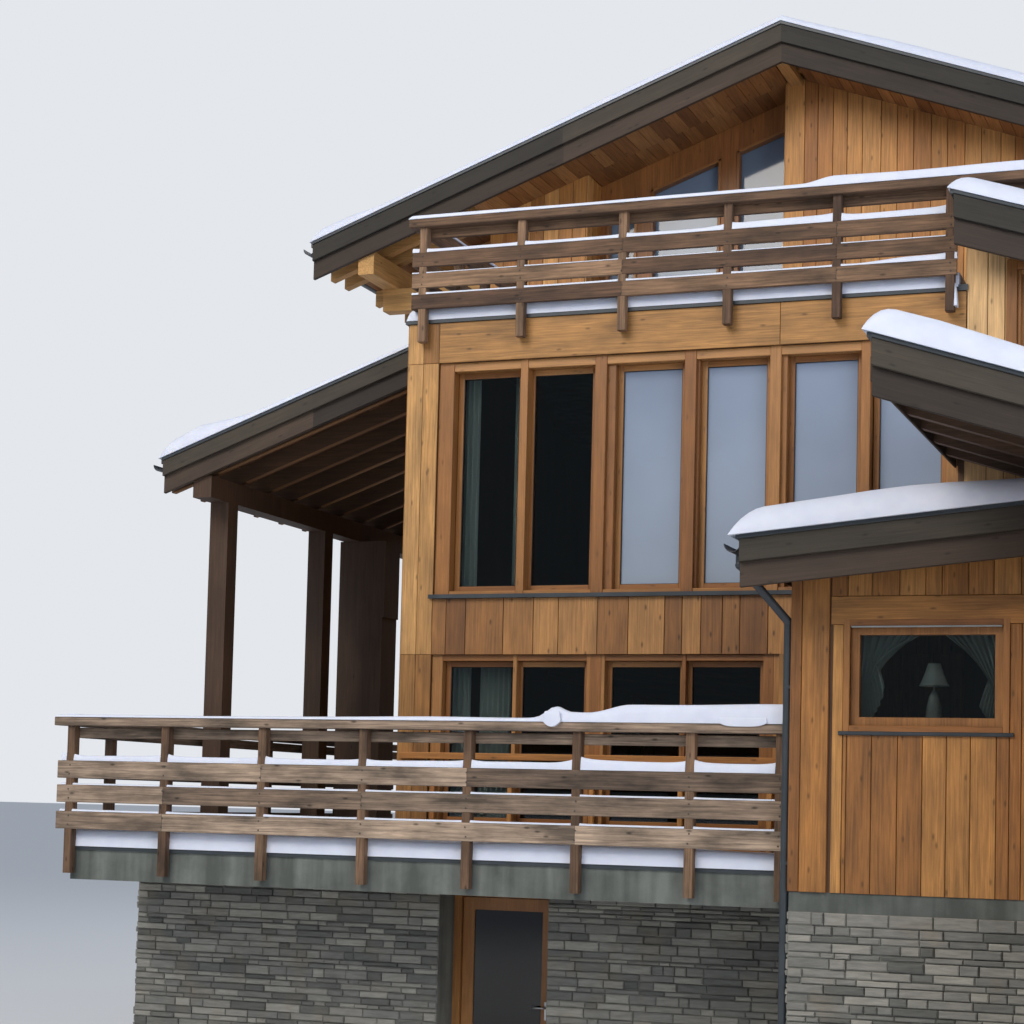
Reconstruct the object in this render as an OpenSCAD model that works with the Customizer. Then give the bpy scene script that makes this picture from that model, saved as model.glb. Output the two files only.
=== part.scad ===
// Alpine chalet: timber house on a stone basement, with a flat-topped front block,
// a gabled main house behind it, a lean-to roof on the left and side wings on the right.
// Units are millimetres. X runs along the front, Y goes back, Z is up from the lowest ground.
// Local zero is the block's front left corner; the whole model is then centred on its footprint.

/* [Levels] */
// Underside of the balcony slab and of the main floor
slab_bottom = 2094; // [1900:10:2400]
// Thickness of the balcony and side terrace slabs
slab_t = 293; // [200:10:400]
// Thickness of the main floor
floor_t = 150; // [100:10:220]
// Thickness of the basement floor
basement_floor_t = 100; // [60:10:140]
// Clear height from the balcony slab to the head of the French windows
french_h = 1793; // [1600:10:2000]
// Height of the boarded band between the window rows
band_h = 520; // [400:10:700]
// Height of the upper ribbon opening
ribbon_h = 2135; // [1600:10:2400]
// Height of the header above the ribbon window, up to the deck's top
header_h = 400; // [340:10:600]
// Thickness of the terrace deck and the attic floor
deck_t = 200; // [150:10:260]
// Thickness of the upper floor
upper_floor_t = 200; // [140:10:260]

/* [Front block] */
// Width of the front block
block_w = 5050; // [4800:10:5400]
// Depth of the front block
block_d = 3100; // [2600:10:3600]
// Width of one corner board
corner_board = 151.5; // [120:0.5:180]
// Thickness of the timber outer walls
wall_t = 250; // [180:10:300]
// Width of the jamb at the right end of the ribbon window
ribbon_jamb = 70; // [50:5:120]
// Width of the French window opening
french_w = 3197; // [2800:10:3300]
// Distance of the window frames behind the facade
frame_set = 30; // [10:5:60]
// Depth of the window frames
frame_d = 90; // [60:5:120]
// Distance of the window posts behind the facade
post_set = 20; // [10:5:50]
// Distance of the sashes behind the facade in the window rows
sash_set = 135; // [100:5:150]
// Depth of the sashes in the window rows
sash_d = 55; // [45:5:70]
// Thickness of window glass
glass_t = 24; // [10:2:40]

/* [Main house] */
// Width of the main house
house_w = 6600; // [6200:50:7000]
// How far the main house starts left of the block's corner
house_left = 450; // [300:10:500]
// Depth of the main house
house_d = 8500; // [7500:50:9500]
// Height of the ridge above the ground
ridge_z = 10594; // [10400:10:11200]
// Rise of the main and lean-to roofs per unit of width
roof_rise = 0.366; // [0.3:0.002:0.4]
// Overhang of the main roof past the side walls
main_eave = 1740; // [1500:10:1900]
// Overhang of the main roof past the gables
main_verge = 700; // [600:10:900]
// Thickness of the roof decks
roof_t = 130; // [90:5:160]
// Height of the main rafters
rafter_h = 170; // [120:5:200]
// Width of the rafters
rafter_w = 110; // [80:5:140]
// Spacing of the main rafters
rafter_pitch = 850; // [600:10:1000]
// Height of the barge boards from edge to edge
barge_h = 380; // [330:5:420]
// Thickness of each barge board
barge_t = 40; // [25:5:60]
// Height of purlins
purlin_h = 240; // [180:10:300]
// Width of purlins
purlin_w = 180; // [140:10:220]
// Width of the ridge beam
ridge_beam_w = 120; // [100:5:160]
// Depth of the ridge beam
ridge_beam_h = 100; // [80:5:160]
// Distance between the recessed gable glazing and the ridge beam
glazing_gap = 50; // [20:5:100]
// Width of the recessed gable glazing
glazing_w = 2120; // [1800:10:2300]
// Depth of the gable recess
recess_d = 450; // [300:10:600]

/* [Side terrace and lean-to] */
// How far the side terrace reaches left of the block
terrace_w = 2620; // [2300:10:2800]
// Length of the side terrace from front to back
terrace_l = 6000; // [5400:50:7000]
// Depth of the balcony in front of the block
balcony_d = 1200; // [1000:10:1500]
// Height of the lean-to roof where it meets the block
lean_top_z = 7170; // [7050:10:7200]
// How far the lean-to roof reaches left of the block
lean_reach = 2800; // [2700:10:3200]
// Distance of the lean-to roof's front edge behind the facade
lean_front = 500; // [300:10:900]
// Side of the square lean-to posts
lean_post = 200; // [160:10:260]
// Distance of the lean-to posts from the block
lean_post_x = 2400; // [2250:10:2450]
// Width of the wide pier at the rear of the lean-to
lean_pier_w = 540; // [400:10:600]
// Width of the lean-to rafters
lean_rafter_w = 60; // [50:5:100]
// Height of the lean-to rafters
lean_rafter_h = 180; // [140:5:200]

/* [Right block] */
// Width of the right block
right_w = 2290; // [2000:10:2600]
// Height of the right block's roof at its high edge
right_top_z = 7940; // [7800:10:8200]
// Fall of the right block's roof per unit of width
right_fall = 0.32; // [0.25:0.005:0.36]
// Side overhang of the roofs on the right
side_eave = 560; // [400:10:700]

/* [Wing and annex] */
// Distance of the wing's left wall from the block's left corner
wing_x = 6000; // [5900:10:6300]
// Width of the wing
wing_w = 3600; // [3000:10:4200]
// How far the wing stands in front of the block
wing_front = 3000; // [2800:10:3300]
// Overhang of the wing's roof in front
wing_verge = 680; // [500:10:800]
// Height of the wing's roof at its high edge
wing_top_z = 6021; // [5950:10:6200]
// Fall of the wing's roof per unit of width
wing_fall = 0.322; // [0.28:0.002:0.34]
// Spacing of the wing's rafters
wing_pitch = 620; // [500:10:800]
// Distance of the annex's left wall from the block's left corner
annex_x = 3960; // [3920:5:4100]
// How far the annex stands in front of the block
annex_front = 1500; // [1400:10:1700]
// Height of the annex's roof at its left edge
annex_top_z = 4920; // [4850:10:4990]
// Rise of the annex's roof per unit of width
annex_rise = 0.095; // [0.07:0.005:0.11]
// Overhang of the annex's roof in front
annex_verge = 500; // [350:10:600]
// Overhang of the annex's roof on the left
annex_eave = 300; // [200:10:400]
// Thickness of the walls of the wing, the annex and the right block
side_wall_t = 180; // [140:5:220]

/* [Plain windows] */
// Width of a two-leaf window
window_w = 1100; // [950:10:1200]
// Height of a window in the house walls
window_h = 1150; // [900:10:1250]
// Width of the attic window in the rear gable
attic_window_w = 1400; // [1000:10:1500]
// Width of the bars of a window frame
window_bar = 65; // [50:5:90]
// Height of the sills above the main floor
main_sill = 900; // [800:10:1000]
// Height of the sills above the upper floor
upper_sill = 600; // [500:10:900]
// Height of the attic sill above the attic floor
attic_sill = 700; // [600:10:900]
// Distance of the rear windows from the corners
window_side = 1000; // [600:10:1200]

/* [Basement] */
// Thickness of the stone walls
stone_t = 430; // [380:10:500]
// Thickness of the stone base under the wing and the annex
base_t = 220; // [200:10:300]
// Left edge of the basement doorway
door_x = 450; // [350:10:600]
// Width of the basement doorway
door_w = 1030; // [950:10:1150]
// Distance of the door frame behind the stone face
door_set = 350; // [300:10:360]
// Width of the door frame's bars
door_bar = 70; // [50:5:90]
// Gap round the door leaf
door_gap = 8; // [6:1:12]
// Thickness of the door leaf
leaf_t = 45; // [35:1:55]

/* [Railings] */
// Distance between railing posts
post_pitch = 950; // [850:10:1000]
// Width of a railing post
post_w = 75; // [60:1:90]
// Depth of a railing post
post_d = 90; // [75:1:110]
// Thickness of the railing boards, which are let into the posts
rail_t = 40; // [25:1:45]
// Height of a terrace railing board
terrace_board = 135; // [120:1:150]
// Height of a balcony railing board
balcony_board = 156; // [130:1:165]
// Height of the terrace handrail above the deck
terrace_rail_h = 910; // [850:10:1050]
// Height of the balcony handrail above the slab
balcony_rail_h = 1143; // [1050:10:1200]
// Thickness of the handrails
handrail_t = 75; // [55:1:90]
// Depth of the handrails
handrail_d = 150; // [130:5:170]

/* [Gutters and metal] */
// Radius of the gutters
gutter_r = 65; // [50:1:80]
// Radius of the downpipe
pipe_r = 33; // [25:1:40]
// Thickness of sheet metal edges
metal_t = 30; // [20:1:40]

/* [Hidden] */
slab_top = slab_bottom + slab_t;
floor_z = slab_bottom + floor_t;
french_head = slab_top + french_h;
sill_z = french_head + band_h;
ribbon_head = sill_z + ribbon_h;
deck_z = ribbon_head + header_h;
deck_bottom = deck_z - deck_t;
upper_floor_z = sill_z - 250;
upper_floor_bottom = upper_floor_z - upper_floor_t;
corner_w = 2 * corner_board;
house_x0 = -house_left;
house_x1 = house_x0 + house_w;
house_y0 = block_d;
house_y1 = house_y0 + house_d;
ridge_x = (house_x0 + house_x1) / 2;
half_span = house_w / 2 + main_eave;
roof_x0 = ridge_x - half_span;
roof_x1 = ridge_x + half_span;
roof_y0 = house_y0 - main_verge;
roof_y1 = house_y1 + main_verge;
glazing_x1 = ridge_x - ridge_beam_w / 2 - glazing_gap;
glazing_x = glazing_x1 - glazing_w;
right_x = block_w;
right_x1 = right_x + right_w;
right_verge = 350;
right_roof_x0 = right_x - metal_t - 40;
right_roof_x1 = right_x1 + side_eave;
wing_x1 = wing_x + wing_w;
wing_roof_x0 = right_x - 80;
wing_roof_x1 = wing_x1 + side_eave;
wing_y0 = -wing_front;
wing_roof_y0 = wing_y0 - wing_verge;
back_eave = 350;
lean_x1 = -lean_reach;
gutter_out = 2 * gutter_r;
slim = 0.5;
seat = 0.2;
long = 60000;

x_min = min(lean_x1, roof_x0) - gutter_out;
x_max = max(wing_roof_x1, roof_x1) + gutter_out;
y_min = wing_roof_y0 - barge_t;
y_max = roof_y1 + barge_t;
site = [-(x_min + x_max) / 2, -(y_min + y_max) / 2, 0];

wood_light = "#B98A50";
wood_warm = "#A9713A";
wood_frame = "#A8692E";
wood_grey = "#7A6455";
wood_dark = "#3F352B";
concrete = "#7C807C";
stone = "#6E6E68";
metal = "#3A4248";
glass = "#7B8894";

// Roof surfaces as heights over X
function main_z(x) = ridge_z - roof_rise * abs(x - ridge_x);
function lean_z(x) = lean_top_z + roof_rise * x;
function right_z(x) = right_top_z - right_fall * (x - right_roof_x0);
function wing_z(x) = wing_top_z - wing_fall * (x - wing_roof_x0);
function annex_z(x) = annex_top_z + annex_rise * (x - annex_x + annex_eave);

// Evenly spaced values from a to b, at most a pitch apart, both ends included
function spread(a, b, pitch) = let (n = max(1, ceil((b - a) / pitch))) [for (i = [0:n]) a + (b - a) * i / n];

// Axis-aligned block between two corners
module block(lo, hi) {
  translate(lo) cube([hi[0] - lo[0], hi[1] - lo[1], hi[2] - lo[2]]);
}

// Profile drawn in X and Z, carried from y0 to y1
module along_y(y0, y1) {
  translate([0, y1, 0]) rotate([90, 0, 0]) linear_extrude(y1 - y0) children();
}

// Profile drawn in Y and Z, carried from x0 to x1
module along_x(x0, x1) {
  translate([x0, 0, 0]) rotate([90, 0, 90]) linear_extrude(x1 - x0) children();
}

// Sloping strip in X and Z between two surface heights, from top to bottom below the surface
module strip(x0, z0, x1, z1, top, bottom) {
  polygon([[x0, z0 - top], [x1, z1 - top], [x1, z1 - bottom], [x0, z0 - bottom]]);
}

// Both slopes of the main roof between two depths below its surface, from x0 to x1
module main_slopes(x0, x1, top, bottom) {
  polygon([
    [x0, main_z(x0) - top], [ridge_x, ridge_z - top], [x1, main_z(x1) - top],
    [x1, main_z(x1) - bottom], [ridge_x, ridge_z - bottom], [x0, main_z(x0) - bottom]
  ]);
}

// Window as [distance along the wall, sill height, width, height], with a fifth entry where it has one sash
module window_holes(list) {
  for (w = list) translate([w[0], w[1]]) square([w[2], w[3]]);
}

// Fixed frame of one window, with a meeting stile where it has two sashes
module window_bars(w, bar) {
  difference() {
    translate([w[0], w[1]]) square([w[2], w[3]]);
    if (w[2] > 900 && len(w) < 5) {
      translate([w[0] + bar, w[1] + bar]) square([w[2] / 2 - 1.5 * bar, w[3] - 2 * bar]);
      translate([w[0] + w[2] / 2 + bar / 2, w[1] + bar]) square([w[2] / 2 - 1.5 * bar, w[3] - 2 * bar]);
    } else {
      translate([w[0] + bar, w[1] + bar]) square([w[2] - 2 * bar, w[3] - 2 * bar]);
    }
  }
}

// Glass of one window, which fills the inside of its bars
module window_panes(w, bar) {
  difference() {
    translate([w[0], w[1]]) square([w[2], w[3]]);
    window_bars(w, bar);
  }
}

module window_part(kind, w) {
  if (kind == "bars") window_bars(w, window_bar);
  if (kind == "panes") window_panes(w, window_bar);
}

// Windows of the plain sides: along Y on the long walls, along X on the rear and wing walls
row_main = floor_z + main_sill;
row_upper = upper_floor_z + upper_sill;
row_attic = deck_z + attic_sill;
left_windows = [for (z = [row_main, row_upper], y = [house_y1 - 4000, house_y1 - 2000])
  [y, z, window_w, window_h]];
right_windows = [for (z = [row_main, row_upper], y = [house_y0 + 1600, house_y1 - 2200 - window_w])
  [y, z, window_w, window_h]];
rear_windows = concat(
  [for (z = [row_main, row_upper], x = [house_x0 + window_side, house_x1 - window_side - window_w])
    [x, z, window_w, window_h]],
  [[ridge_x - attic_window_w / 2, row_attic, attic_window_w, window_h]]
);
wing_front_window = [wing_x + 1700, floor_z + 850, window_w, 1000];
wing_right_windows = [for (y = [-1600, house_y0 - window_w - 1100]) [y, floor_z + 850, window_w, 1000]];
annex_window = [annex_x + 450, 3520, 1150, 760, "one sash"];
right_window = [right_x + 400, 6350, 820, 1000];

// Basement: rubble stone walls, from the lowest ground to the slabs
module basement_front_left() {
  color(stone) block([-terrace_w, 0, 0], [door_x, stone_t, slab_bottom]);
}

module basement_front_right() {
  color(stone) block([door_x + door_w, 0, 0], [right_x1, stone_t, slab_bottom]);
}

module basement_house_walls() {
  color(stone) linear_extrude(slab_bottom) difference() {
    polygon([
      [-terrace_w, stone_t], [right_x1, stone_t], [right_x1, house_y0], [house_x1, house_y0],
      [house_x1, house_y1], [house_x0, house_y1], [house_x0, terrace_l], [-terrace_w, terrace_l]
    ]);
    basement_inside(0);
  }
}

// Plan of the basement's inside, from a given front edge
module basement_inside(front) {
  polygon([
    [-terrace_w + stone_t, front], [right_x1 - stone_t, front], [right_x1 - stone_t, house_y0 - stone_t],
    [house_x1 - stone_t, house_y0 - stone_t], [house_x1 - stone_t, house_y1 - stone_t],
    [house_x0 + stone_t, house_y1 - stone_t], [house_x0 + stone_t, terrace_l - stone_t],
    [-terrace_w + stone_t, terrace_l - stone_t]
  ]);
}

module side_stone_base() {
  color(stone) linear_extrude(slab_bottom) difference() {
    union() {
      translate([annex_x, -annex_front]) square([wing_x - annex_x, annex_front]);
      translate([wing_x, wing_y0]) square([wing_w, wing_front]);
      translate([right_x1, -1]) square([wing_x1 - right_x1, house_y0 + 1]);
    }
    translate([annex_x + base_t, -annex_front + base_t]) square([wing_x - annex_x - base_t, annex_front]);
    translate([wing_x + base_t, wing_y0 + base_t]) square([wing_w - 2 * base_t, wing_front]);
    translate([right_x1, -base_t]) square([wing_w + wing_x - right_x1 - base_t, house_y0]);
  }
}

module basement_floor() {
  color(concrete) linear_extrude(basement_floor_t) basement_inside(stone_t);
}

// Basement door: a glazed leaf that turns inwards on two hinges at its left edge
frame_y0 = door_set;
leaf_y1 = stone_t;
leaf_y0 = leaf_y1 - leaf_t;
leaf_x0 = door_x + door_bar + door_gap;
leaf_x1 = door_x + door_w - door_bar - door_gap;
leaf_z0 = basement_floor_t + door_gap;
door_head = slab_bottom - 10;
leaf_z1 = door_head - door_bar - door_gap;
hinge_r = 9;
hinge_pin_r = 5;
hinge_h = 60;
hinge_x = leaf_x0 - door_gap / 2;
hinge_y = leaf_y1 + hinge_r + 2;
hinge_zs = [leaf_z0 + 250, leaf_z1 - 250];
leaf_bar = 110;
door_step = 20;

module door_frame() {
  color(wood_frame) difference() {
    block([door_x, frame_y0, 0], [door_x + door_w, stone_t, slab_bottom]);
    block([door_x + door_bar, frame_y0 - 1, basement_floor_t], [door_x + door_w - door_bar, stone_t + 1,
      door_head - door_bar]);
    block([door_x + door_bar, frame_y0 - 1, -1],
      [door_x + door_w - door_bar, frame_y0 + door_step, slab_bottom - 300]);
  }
  for (z = hinge_zs) color(metal) {
    translate([hinge_x, hinge_y, z - hinge_h]) cylinder(r = hinge_r, h = hinge_h, $fn = 24);
    translate([hinge_x, hinge_y, z - 1]) cylinder(r = hinge_pin_r, h = hinge_h - 5, $fn = 24);
    block([door_x + door_bar - 30, stone_t, z - hinge_h], [hinge_x, stone_t + 4, z]);
  }
}

module door_leaf() {
  color(wood_frame) difference() {
    block([leaf_x0, leaf_y0, leaf_z0], [leaf_x1, leaf_y1, leaf_z1]);
    block([leaf_x0 + leaf_bar, leaf_y0 - 1, leaf_z0 + 3 * leaf_bar],
      [leaf_x1 - leaf_bar, leaf_y1 + 1, leaf_z1 - leaf_bar]);
  }
  for (z = hinge_zs) color(metal) difference() {
    union() {
      translate([hinge_x, hinge_y, z + 1]) cylinder(r = hinge_r, h = hinge_h, $fn = 24);
      block([hinge_x, leaf_y1, z + 1], [leaf_x0 + 30, leaf_y1 + 4, z + 1 + hinge_h]);
    }
    translate([hinge_x, hinge_y, z]) cylinder(r = hinge_pin_r + 0.1, h = hinge_h + 2, $fn = 24);
  }
}

module door_glass() {
  color(glass) block(
    [leaf_x0 + leaf_bar, leaf_y0 + 12, leaf_z0 + 3 * leaf_bar],
    [leaf_x1 - leaf_bar, leaf_y0 + 30, leaf_z1 - leaf_bar]
  );
}

// Slabs and floors
module balcony_slab() {
  color(concrete) translate([0, 0, slab_bottom]) linear_extrude(slab_t) polygon([
    [-terrace_w, -balcony_d], [annex_x, -balcony_d], [annex_x, 0], [0, 0], [0, house_y0],
    [house_x0, house_y0], [house_x0, terrace_l], [-terrace_w, terrace_l]
  ]);
}

module main_floor() {
  color(concrete) translate([0, 0, slab_bottom]) linear_extrude(floor_t) polygon([
    [0, 0], [annex_x, 0], [annex_x, -annex_front], [wing_x, -annex_front], [wing_x, wing_y0],
    [wing_x1, wing_y0], [wing_x1, house_y0], [house_x1, house_y0],
    [house_x1, house_y1], [house_x0, house_y1], [house_x0, house_y0], [0, house_y0]
  ]);
}

// Front block
module block_left_wall() {
  color(wood_light) block([0, 0, floor_z], [corner_w, block_d, deck_z]);
}

module block_header() {
  color(wood_light) {
    block([corner_w, 0, ribbon_head], [block_w, wall_t, deck_z]);
    block([ribbon_x1, 0, sill_z], [block_w, wall_t, ribbon_head + slim]);
  }
}

module block_band() {
  color(wood_light) block([corner_w, 0, french_head], [block_w, wall_t, sill_z]);
}

module lower_front_wall() {
  color(wood_light) block([corner_w + french_w, 0, floor_z], [block_w, wall_t, french_head]);
}

// Window row: a frame with one opening for each sash, set back behind square posts, a sill and a head
module window_row(x0, x1, z0, z1, sill_h, head_h, posts, sashes, sash_z, sash_top) {
  difference() {
    block([x0, sash_set, z0], [x1, sash_set + sash_d, z1]);
    for (s = sashes) block([s[0], 0, sash_z], [s[1], wall_t, sash_top]);
  }
  for (p = posts) block([p[0], post_set, z0], [p[1], sash_set + slim, z1]);
  block([x0, post_set, z0], [x1, sash_set + slim, z0 + sill_h]);
  block([x0, post_set, z1 - head_h], [x1, sash_set + slim, z1]);
}

// Ribbon window of six tall sashes. Each post or sash is [left edge, right edge]
row_head = 55;
ribbon_x1 = block_w - ribbon_jamb;
ribbon_posts = [
  [corner_w, 445], [1087, 1159], [1790, 1900], [2612, 2717], [3372, 3470], [4160, 4240],
  [ribbon_x1 - 100, ribbon_x1]
];
ribbon_sashes = [[500, 1040], [1188, 1735], [2024, 2560], [2789, 3320], [3566, 4110], [4300, 4820]];
sash_z0 = sill_z + 107;
sash_z1 = ribbon_head - 131;

module ribbon_frame() {
  color(wood_frame) window_row(corner_w, ribbon_x1, sill_z, ribbon_head, row_head, 79, ribbon_posts,
    ribbon_sashes, sash_z0, sash_z1);
}

module ribbon_glass() {
  color(glass) block(
    [corner_w, sash_set + sash_d, sill_z], [ribbon_x1, sash_set + sash_d + glass_t, ribbon_head]
  );
}

// French windows: two pairs of leaves over a closed foot
french_x1 = corner_w + french_w;
french_posts = [[corner_w, 405], [1083, 1119], [1805, 1912], [2640, 2676], [french_x1 - 54, french_x1]];
french_sashes = [[458, 1053], [1149, 1729], [1984, 2604], [2712, 3313]];
french_sill = slab_top + 343;
french_foot = 300;

module french_frame() {
  color(wood_frame) window_row(corner_w, french_x1, floor_z, french_head, slab_top + french_foot - floor_z,
    row_head, french_posts, french_sashes, french_sill, french_head - 104);
}

module french_glass() {
  color(glass) block(
    [corner_w, sash_set + sash_d, floor_z], [french_x1, sash_set + sash_d + glass_t, french_head]
  );
}

// Low rail in front of the French windows, on thin posts that stand on the balcony
guard_z = slab_top + 853;
guard_posts = [340, 1080, 1840, 2640, 3420];

module guard_rail() {
  color(wood_warm) {
    block([40, -60, guard_z], [corner_w + french_w, 0, guard_z + 60]);
    for (p = guard_posts) block([p, -45, slab_top], [p + 45, -5, guard_z - seat]);
  }
}

// Plan of the house's inside together with the block's, behind the front wall
module house_inside() {
  polygon([
    [corner_w, wall_t], [block_w, wall_t], [block_w, house_y0], [house_x1 - wall_t, house_y0],
    [house_x1 - wall_t, house_y1 - wall_t], [house_x0 + wall_t, house_y1 - wall_t],
    [house_x0 + wall_t, house_y0 + wall_t], [corner_w, house_y0 + wall_t]
  ]);
}

module upper_floor() {
  color(wood_warm) translate([0, 0, upper_floor_bottom]) linear_extrude(upper_floor_t) {
    house_inside();
    translate([block_w, side_wall_t]) square([right_w - side_wall_t, house_y0 - 2 * side_wall_t]);
  }
}

module terrace_deck() {
  color(concrete) translate([0, 0, deck_bottom]) linear_extrude(deck_t) house_inside();
}

// Sheet metal: deck edge, ribbon sill and balcony edge
module sheet_metal_edges() {
  color(metal) {
    block([-metal_t, -metal_t, deck_z - 30], [right_x, 0, deck_z + 20]);
    block([-metal_t, -slim, deck_z - 30], [0, house_y0, deck_z + 20]);
    block([corner_w - 30, -50, sill_z - 15], [annex_x, 0, sill_z + 20]);
    block([-terrace_w, -balcony_d - 15, slab_top - 30], [annex_x, -balcony_d, slab_top + 20]);
  }
}

// Railing with notched posts: the boards are let in flush with the front of the posts
balcony_y1 = -balcony_d - 15;
balcony_y0 = balcony_y1 - post_d;
balcony_bottom = slab_bottom + 56;
balcony_rail_z = slab_top + balcony_rail_h;
balcony_boards = [slab_top + 153, slab_top + 388, slab_top + 602];
balcony_inner_z = balcony_rail_z - 180;
balcony_last = annex_x - 130;
balcony_first = annex_x - 860;
balcony_x0 = -terrace_w - 15 - post_d;
balcony_xs = concat([for (x = [balcony_first : -post_pitch : balcony_x0 + post_d]) x], [balcony_last]);
side_ys = spread(-balcony_d + 700, terrace_l - 200, 1100);

terrace_y1 = -metal_t;
terrace_y0 = terrace_y1 - post_d;
terrace_bottom = deck_z - 215;
terrace_rail_z = deck_z + terrace_rail_h;
terrace_boards = [deck_z + 83, deck_z + 277, deck_z + 471];
terrace_inner_z = terrace_rail_z - 155;
inner_h = 90;
handrail_lap = 30;
terrace_first = 163;
terrace_x0 = 60;
terrace_x1 = right_roof_x0 - 10;
terrace_end = right_x + 1000;
terrace_xs = [for (x = [terrace_first : post_pitch : terrace_x1 - post_w / 2]) x];
terrace_side_ys = spread(terrace_y1 + post_pitch - 20, block_d - 200, post_pitch);

module balcony_posts() {
  color(wood_grey) difference() {
    union() {
      for (x = balcony_xs) block([x - post_w / 2, balcony_y0, balcony_bottom],
        [x + post_w / 2, balcony_y1, balcony_rail_z - handrail_t]);
      for (y = side_ys) block([balcony_x0, y - post_w / 2, balcony_bottom],
        [balcony_x0 + post_d, y + post_w / 2, balcony_rail_z - handrail_t]);
    }
    balcony_rails();
  }
}

module balcony_rails() {
  color(wood_grey) {
    for (z = balcony_boards) {
      block([balcony_x0, balcony_y0, z], [balcony_last + post_w / 2, balcony_y0 + rail_t, z + balcony_board]);
      block([balcony_x0, balcony_y0 + rail_t + slim, z], [balcony_x0 + rail_t, terrace_l, z + balcony_board]);
    }
    block([balcony_x0 + post_d, balcony_y1, balcony_inner_z],
      [balcony_last + post_w / 2, balcony_y1 + rail_t, balcony_inner_z + inner_h]);
    block([balcony_x0 + post_d, balcony_y1 + rail_t + slim, balcony_inner_z],
      [balcony_x0 + post_d + rail_t, terrace_l, balcony_inner_z + inner_h]);
    block([balcony_x0 - handrail_lap, balcony_y0 - handrail_lap, balcony_rail_z - handrail_t],
      [balcony_last + post_w / 2, balcony_y0 - handrail_lap + handrail_d, balcony_rail_z]);
    block([balcony_x0 - handrail_lap, balcony_y0 - handrail_lap + handrail_d + slim,
      balcony_rail_z - handrail_t],
      [balcony_x0 - handrail_lap + handrail_d, terrace_l, balcony_rail_z]);
  }
}

module terrace_posts() {
  color(wood_grey) difference() {
    union() {
      for (x = terrace_xs) block([x - post_w / 2, terrace_y0, terrace_bottom],
        [x + post_w / 2, terrace_y1, terrace_rail_z - handrail_t]);
      for (y = terrace_side_ys) block([terrace_x0, y - post_w / 2, deck_z],
        [terrace_x0 + post_d, y + post_w / 2, terrace_rail_z - handrail_t]);
      block([terrace_end - post_w, terrace_y0, right_z(terrace_end)],
        [terrace_end, terrace_y1, terrace_rail_z - handrail_t]);
    }
    terrace_rails();
    along_y(-long, long) strip(right_roof_x0, right_top_z, right_roof_x1, right_z(right_roof_x1), 0, 500);
  }
}

module terrace_rails() {
  color(wood_grey) {
    for (z = terrace_boards) {
      block([terrace_x0, terrace_y0, z], [terrace_x1, terrace_y0 + rail_t, z + terrace_board]);
      block([terrace_x0, terrace_y0 + rail_t + slim, z], [terrace_x0 + rail_t, block_d, z + terrace_board]);
    }
    block([terrace_x0 + post_d, terrace_y1, terrace_inner_z],
      [terrace_end, terrace_y1 + rail_t, terrace_inner_z + inner_h]);
    block([terrace_x0 + post_d, terrace_y1 + rail_t + slim, terrace_inner_z],
      [terrace_x0 + post_d + rail_t, block_d, terrace_inner_z + inner_h]);
    block([terrace_x0 - handrail_lap, terrace_y0 - handrail_lap, terrace_rail_z - handrail_t],
      [terrace_end, terrace_y0 - handrail_lap + handrail_d, terrace_rail_z]);
    block([terrace_x0 - handrail_lap, terrace_y0 - handrail_lap + handrail_d + slim,
      terrace_rail_z - handrail_t],
      [terrace_x0 - handrail_lap + handrail_d, block_d, terrace_rail_z]);
  }
}

// Main house: gable panels beside the recessed glazing, and plain outer walls.
// A wall's top follows the underside of the rafters, and purlins pass through it.
rafter_low = roof_t + rafter_h;
function wall_top(x) = main_z(x) - rafter_low - seat;

module gable_left_panel() {
  color(wood_warm) {
    along_y(house_y0, house_y0 + wall_t) polygon([
      [house_x0, slab_top], [0, slab_top], [0, deck_z], [glazing_x, deck_z],
      [glazing_x, wall_top(glazing_x)], [house_x0, wall_top(house_x0)]
    ]);
    along_y(house_y0 + wall_t - slim, house_y0 + recess_d + frame_d) polygon([
      [glazing_x - wall_t, deck_z], [glazing_x, deck_z], [glazing_x, wall_top(glazing_x)],
      [glazing_x - wall_t, wall_top(glazing_x - wall_t)]
    ]);
  }
}

module gable_right_panel() {
  color(wood_warm) difference() {
    union() {
      along_y(house_y0, house_y0 + wall_t) polygon([
        [glazing_x1, deck_z], [house_x1, deck_z], [house_x1, wall_top(house_x1)],
        [ridge_x, wall_top(ridge_x)], [glazing_x1, wall_top(glazing_x1)]
      ]);
      along_y(house_y0 + wall_t - slim, house_y0 + recess_d + frame_d) polygon([
        [glazing_x1, deck_z], [glazing_x1 + wall_t, deck_z],
        [glazing_x1 + wall_t, wall_top(glazing_x1 + wall_t)],
        [ridge_x, wall_top(ridge_x)], [glazing_x1, wall_top(glazing_x1)]
      ]);
    }
    ridge_slot();
  }
}

glazing_posts = [[glazing_x + 420, 150], [glazing_x + 1330, 170]];
glazing_edge = 80;
glazing_sill = 200;
glazing_head = 300;

module gable_glazing_frame() {
  bays = [
    [glazing_x + glazing_edge, glazing_posts[0][0]],
    [glazing_posts[0][0] + glazing_posts[0][1], glazing_posts[1][0]],
    [glazing_posts[1][0] + glazing_posts[1][1], glazing_x1 - glazing_edge]
  ];
  color(wood_frame) along_y(house_y0 + recess_d, house_y0 + recess_d + frame_d) difference() {
    polygon([[glazing_x, deck_z], [glazing_x1, deck_z], [glazing_x1, wall_top(glazing_x1)],
      [glazing_x, wall_top(glazing_x)]]);
    for (bay = bays) polygon([
      [bay[0], deck_z + glazing_sill], [bay[1], deck_z + glazing_sill],
      [bay[1], wall_top(bay[1]) - glazing_head], [bay[0], wall_top(bay[0]) - glazing_head]
    ]);
  }
}

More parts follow.
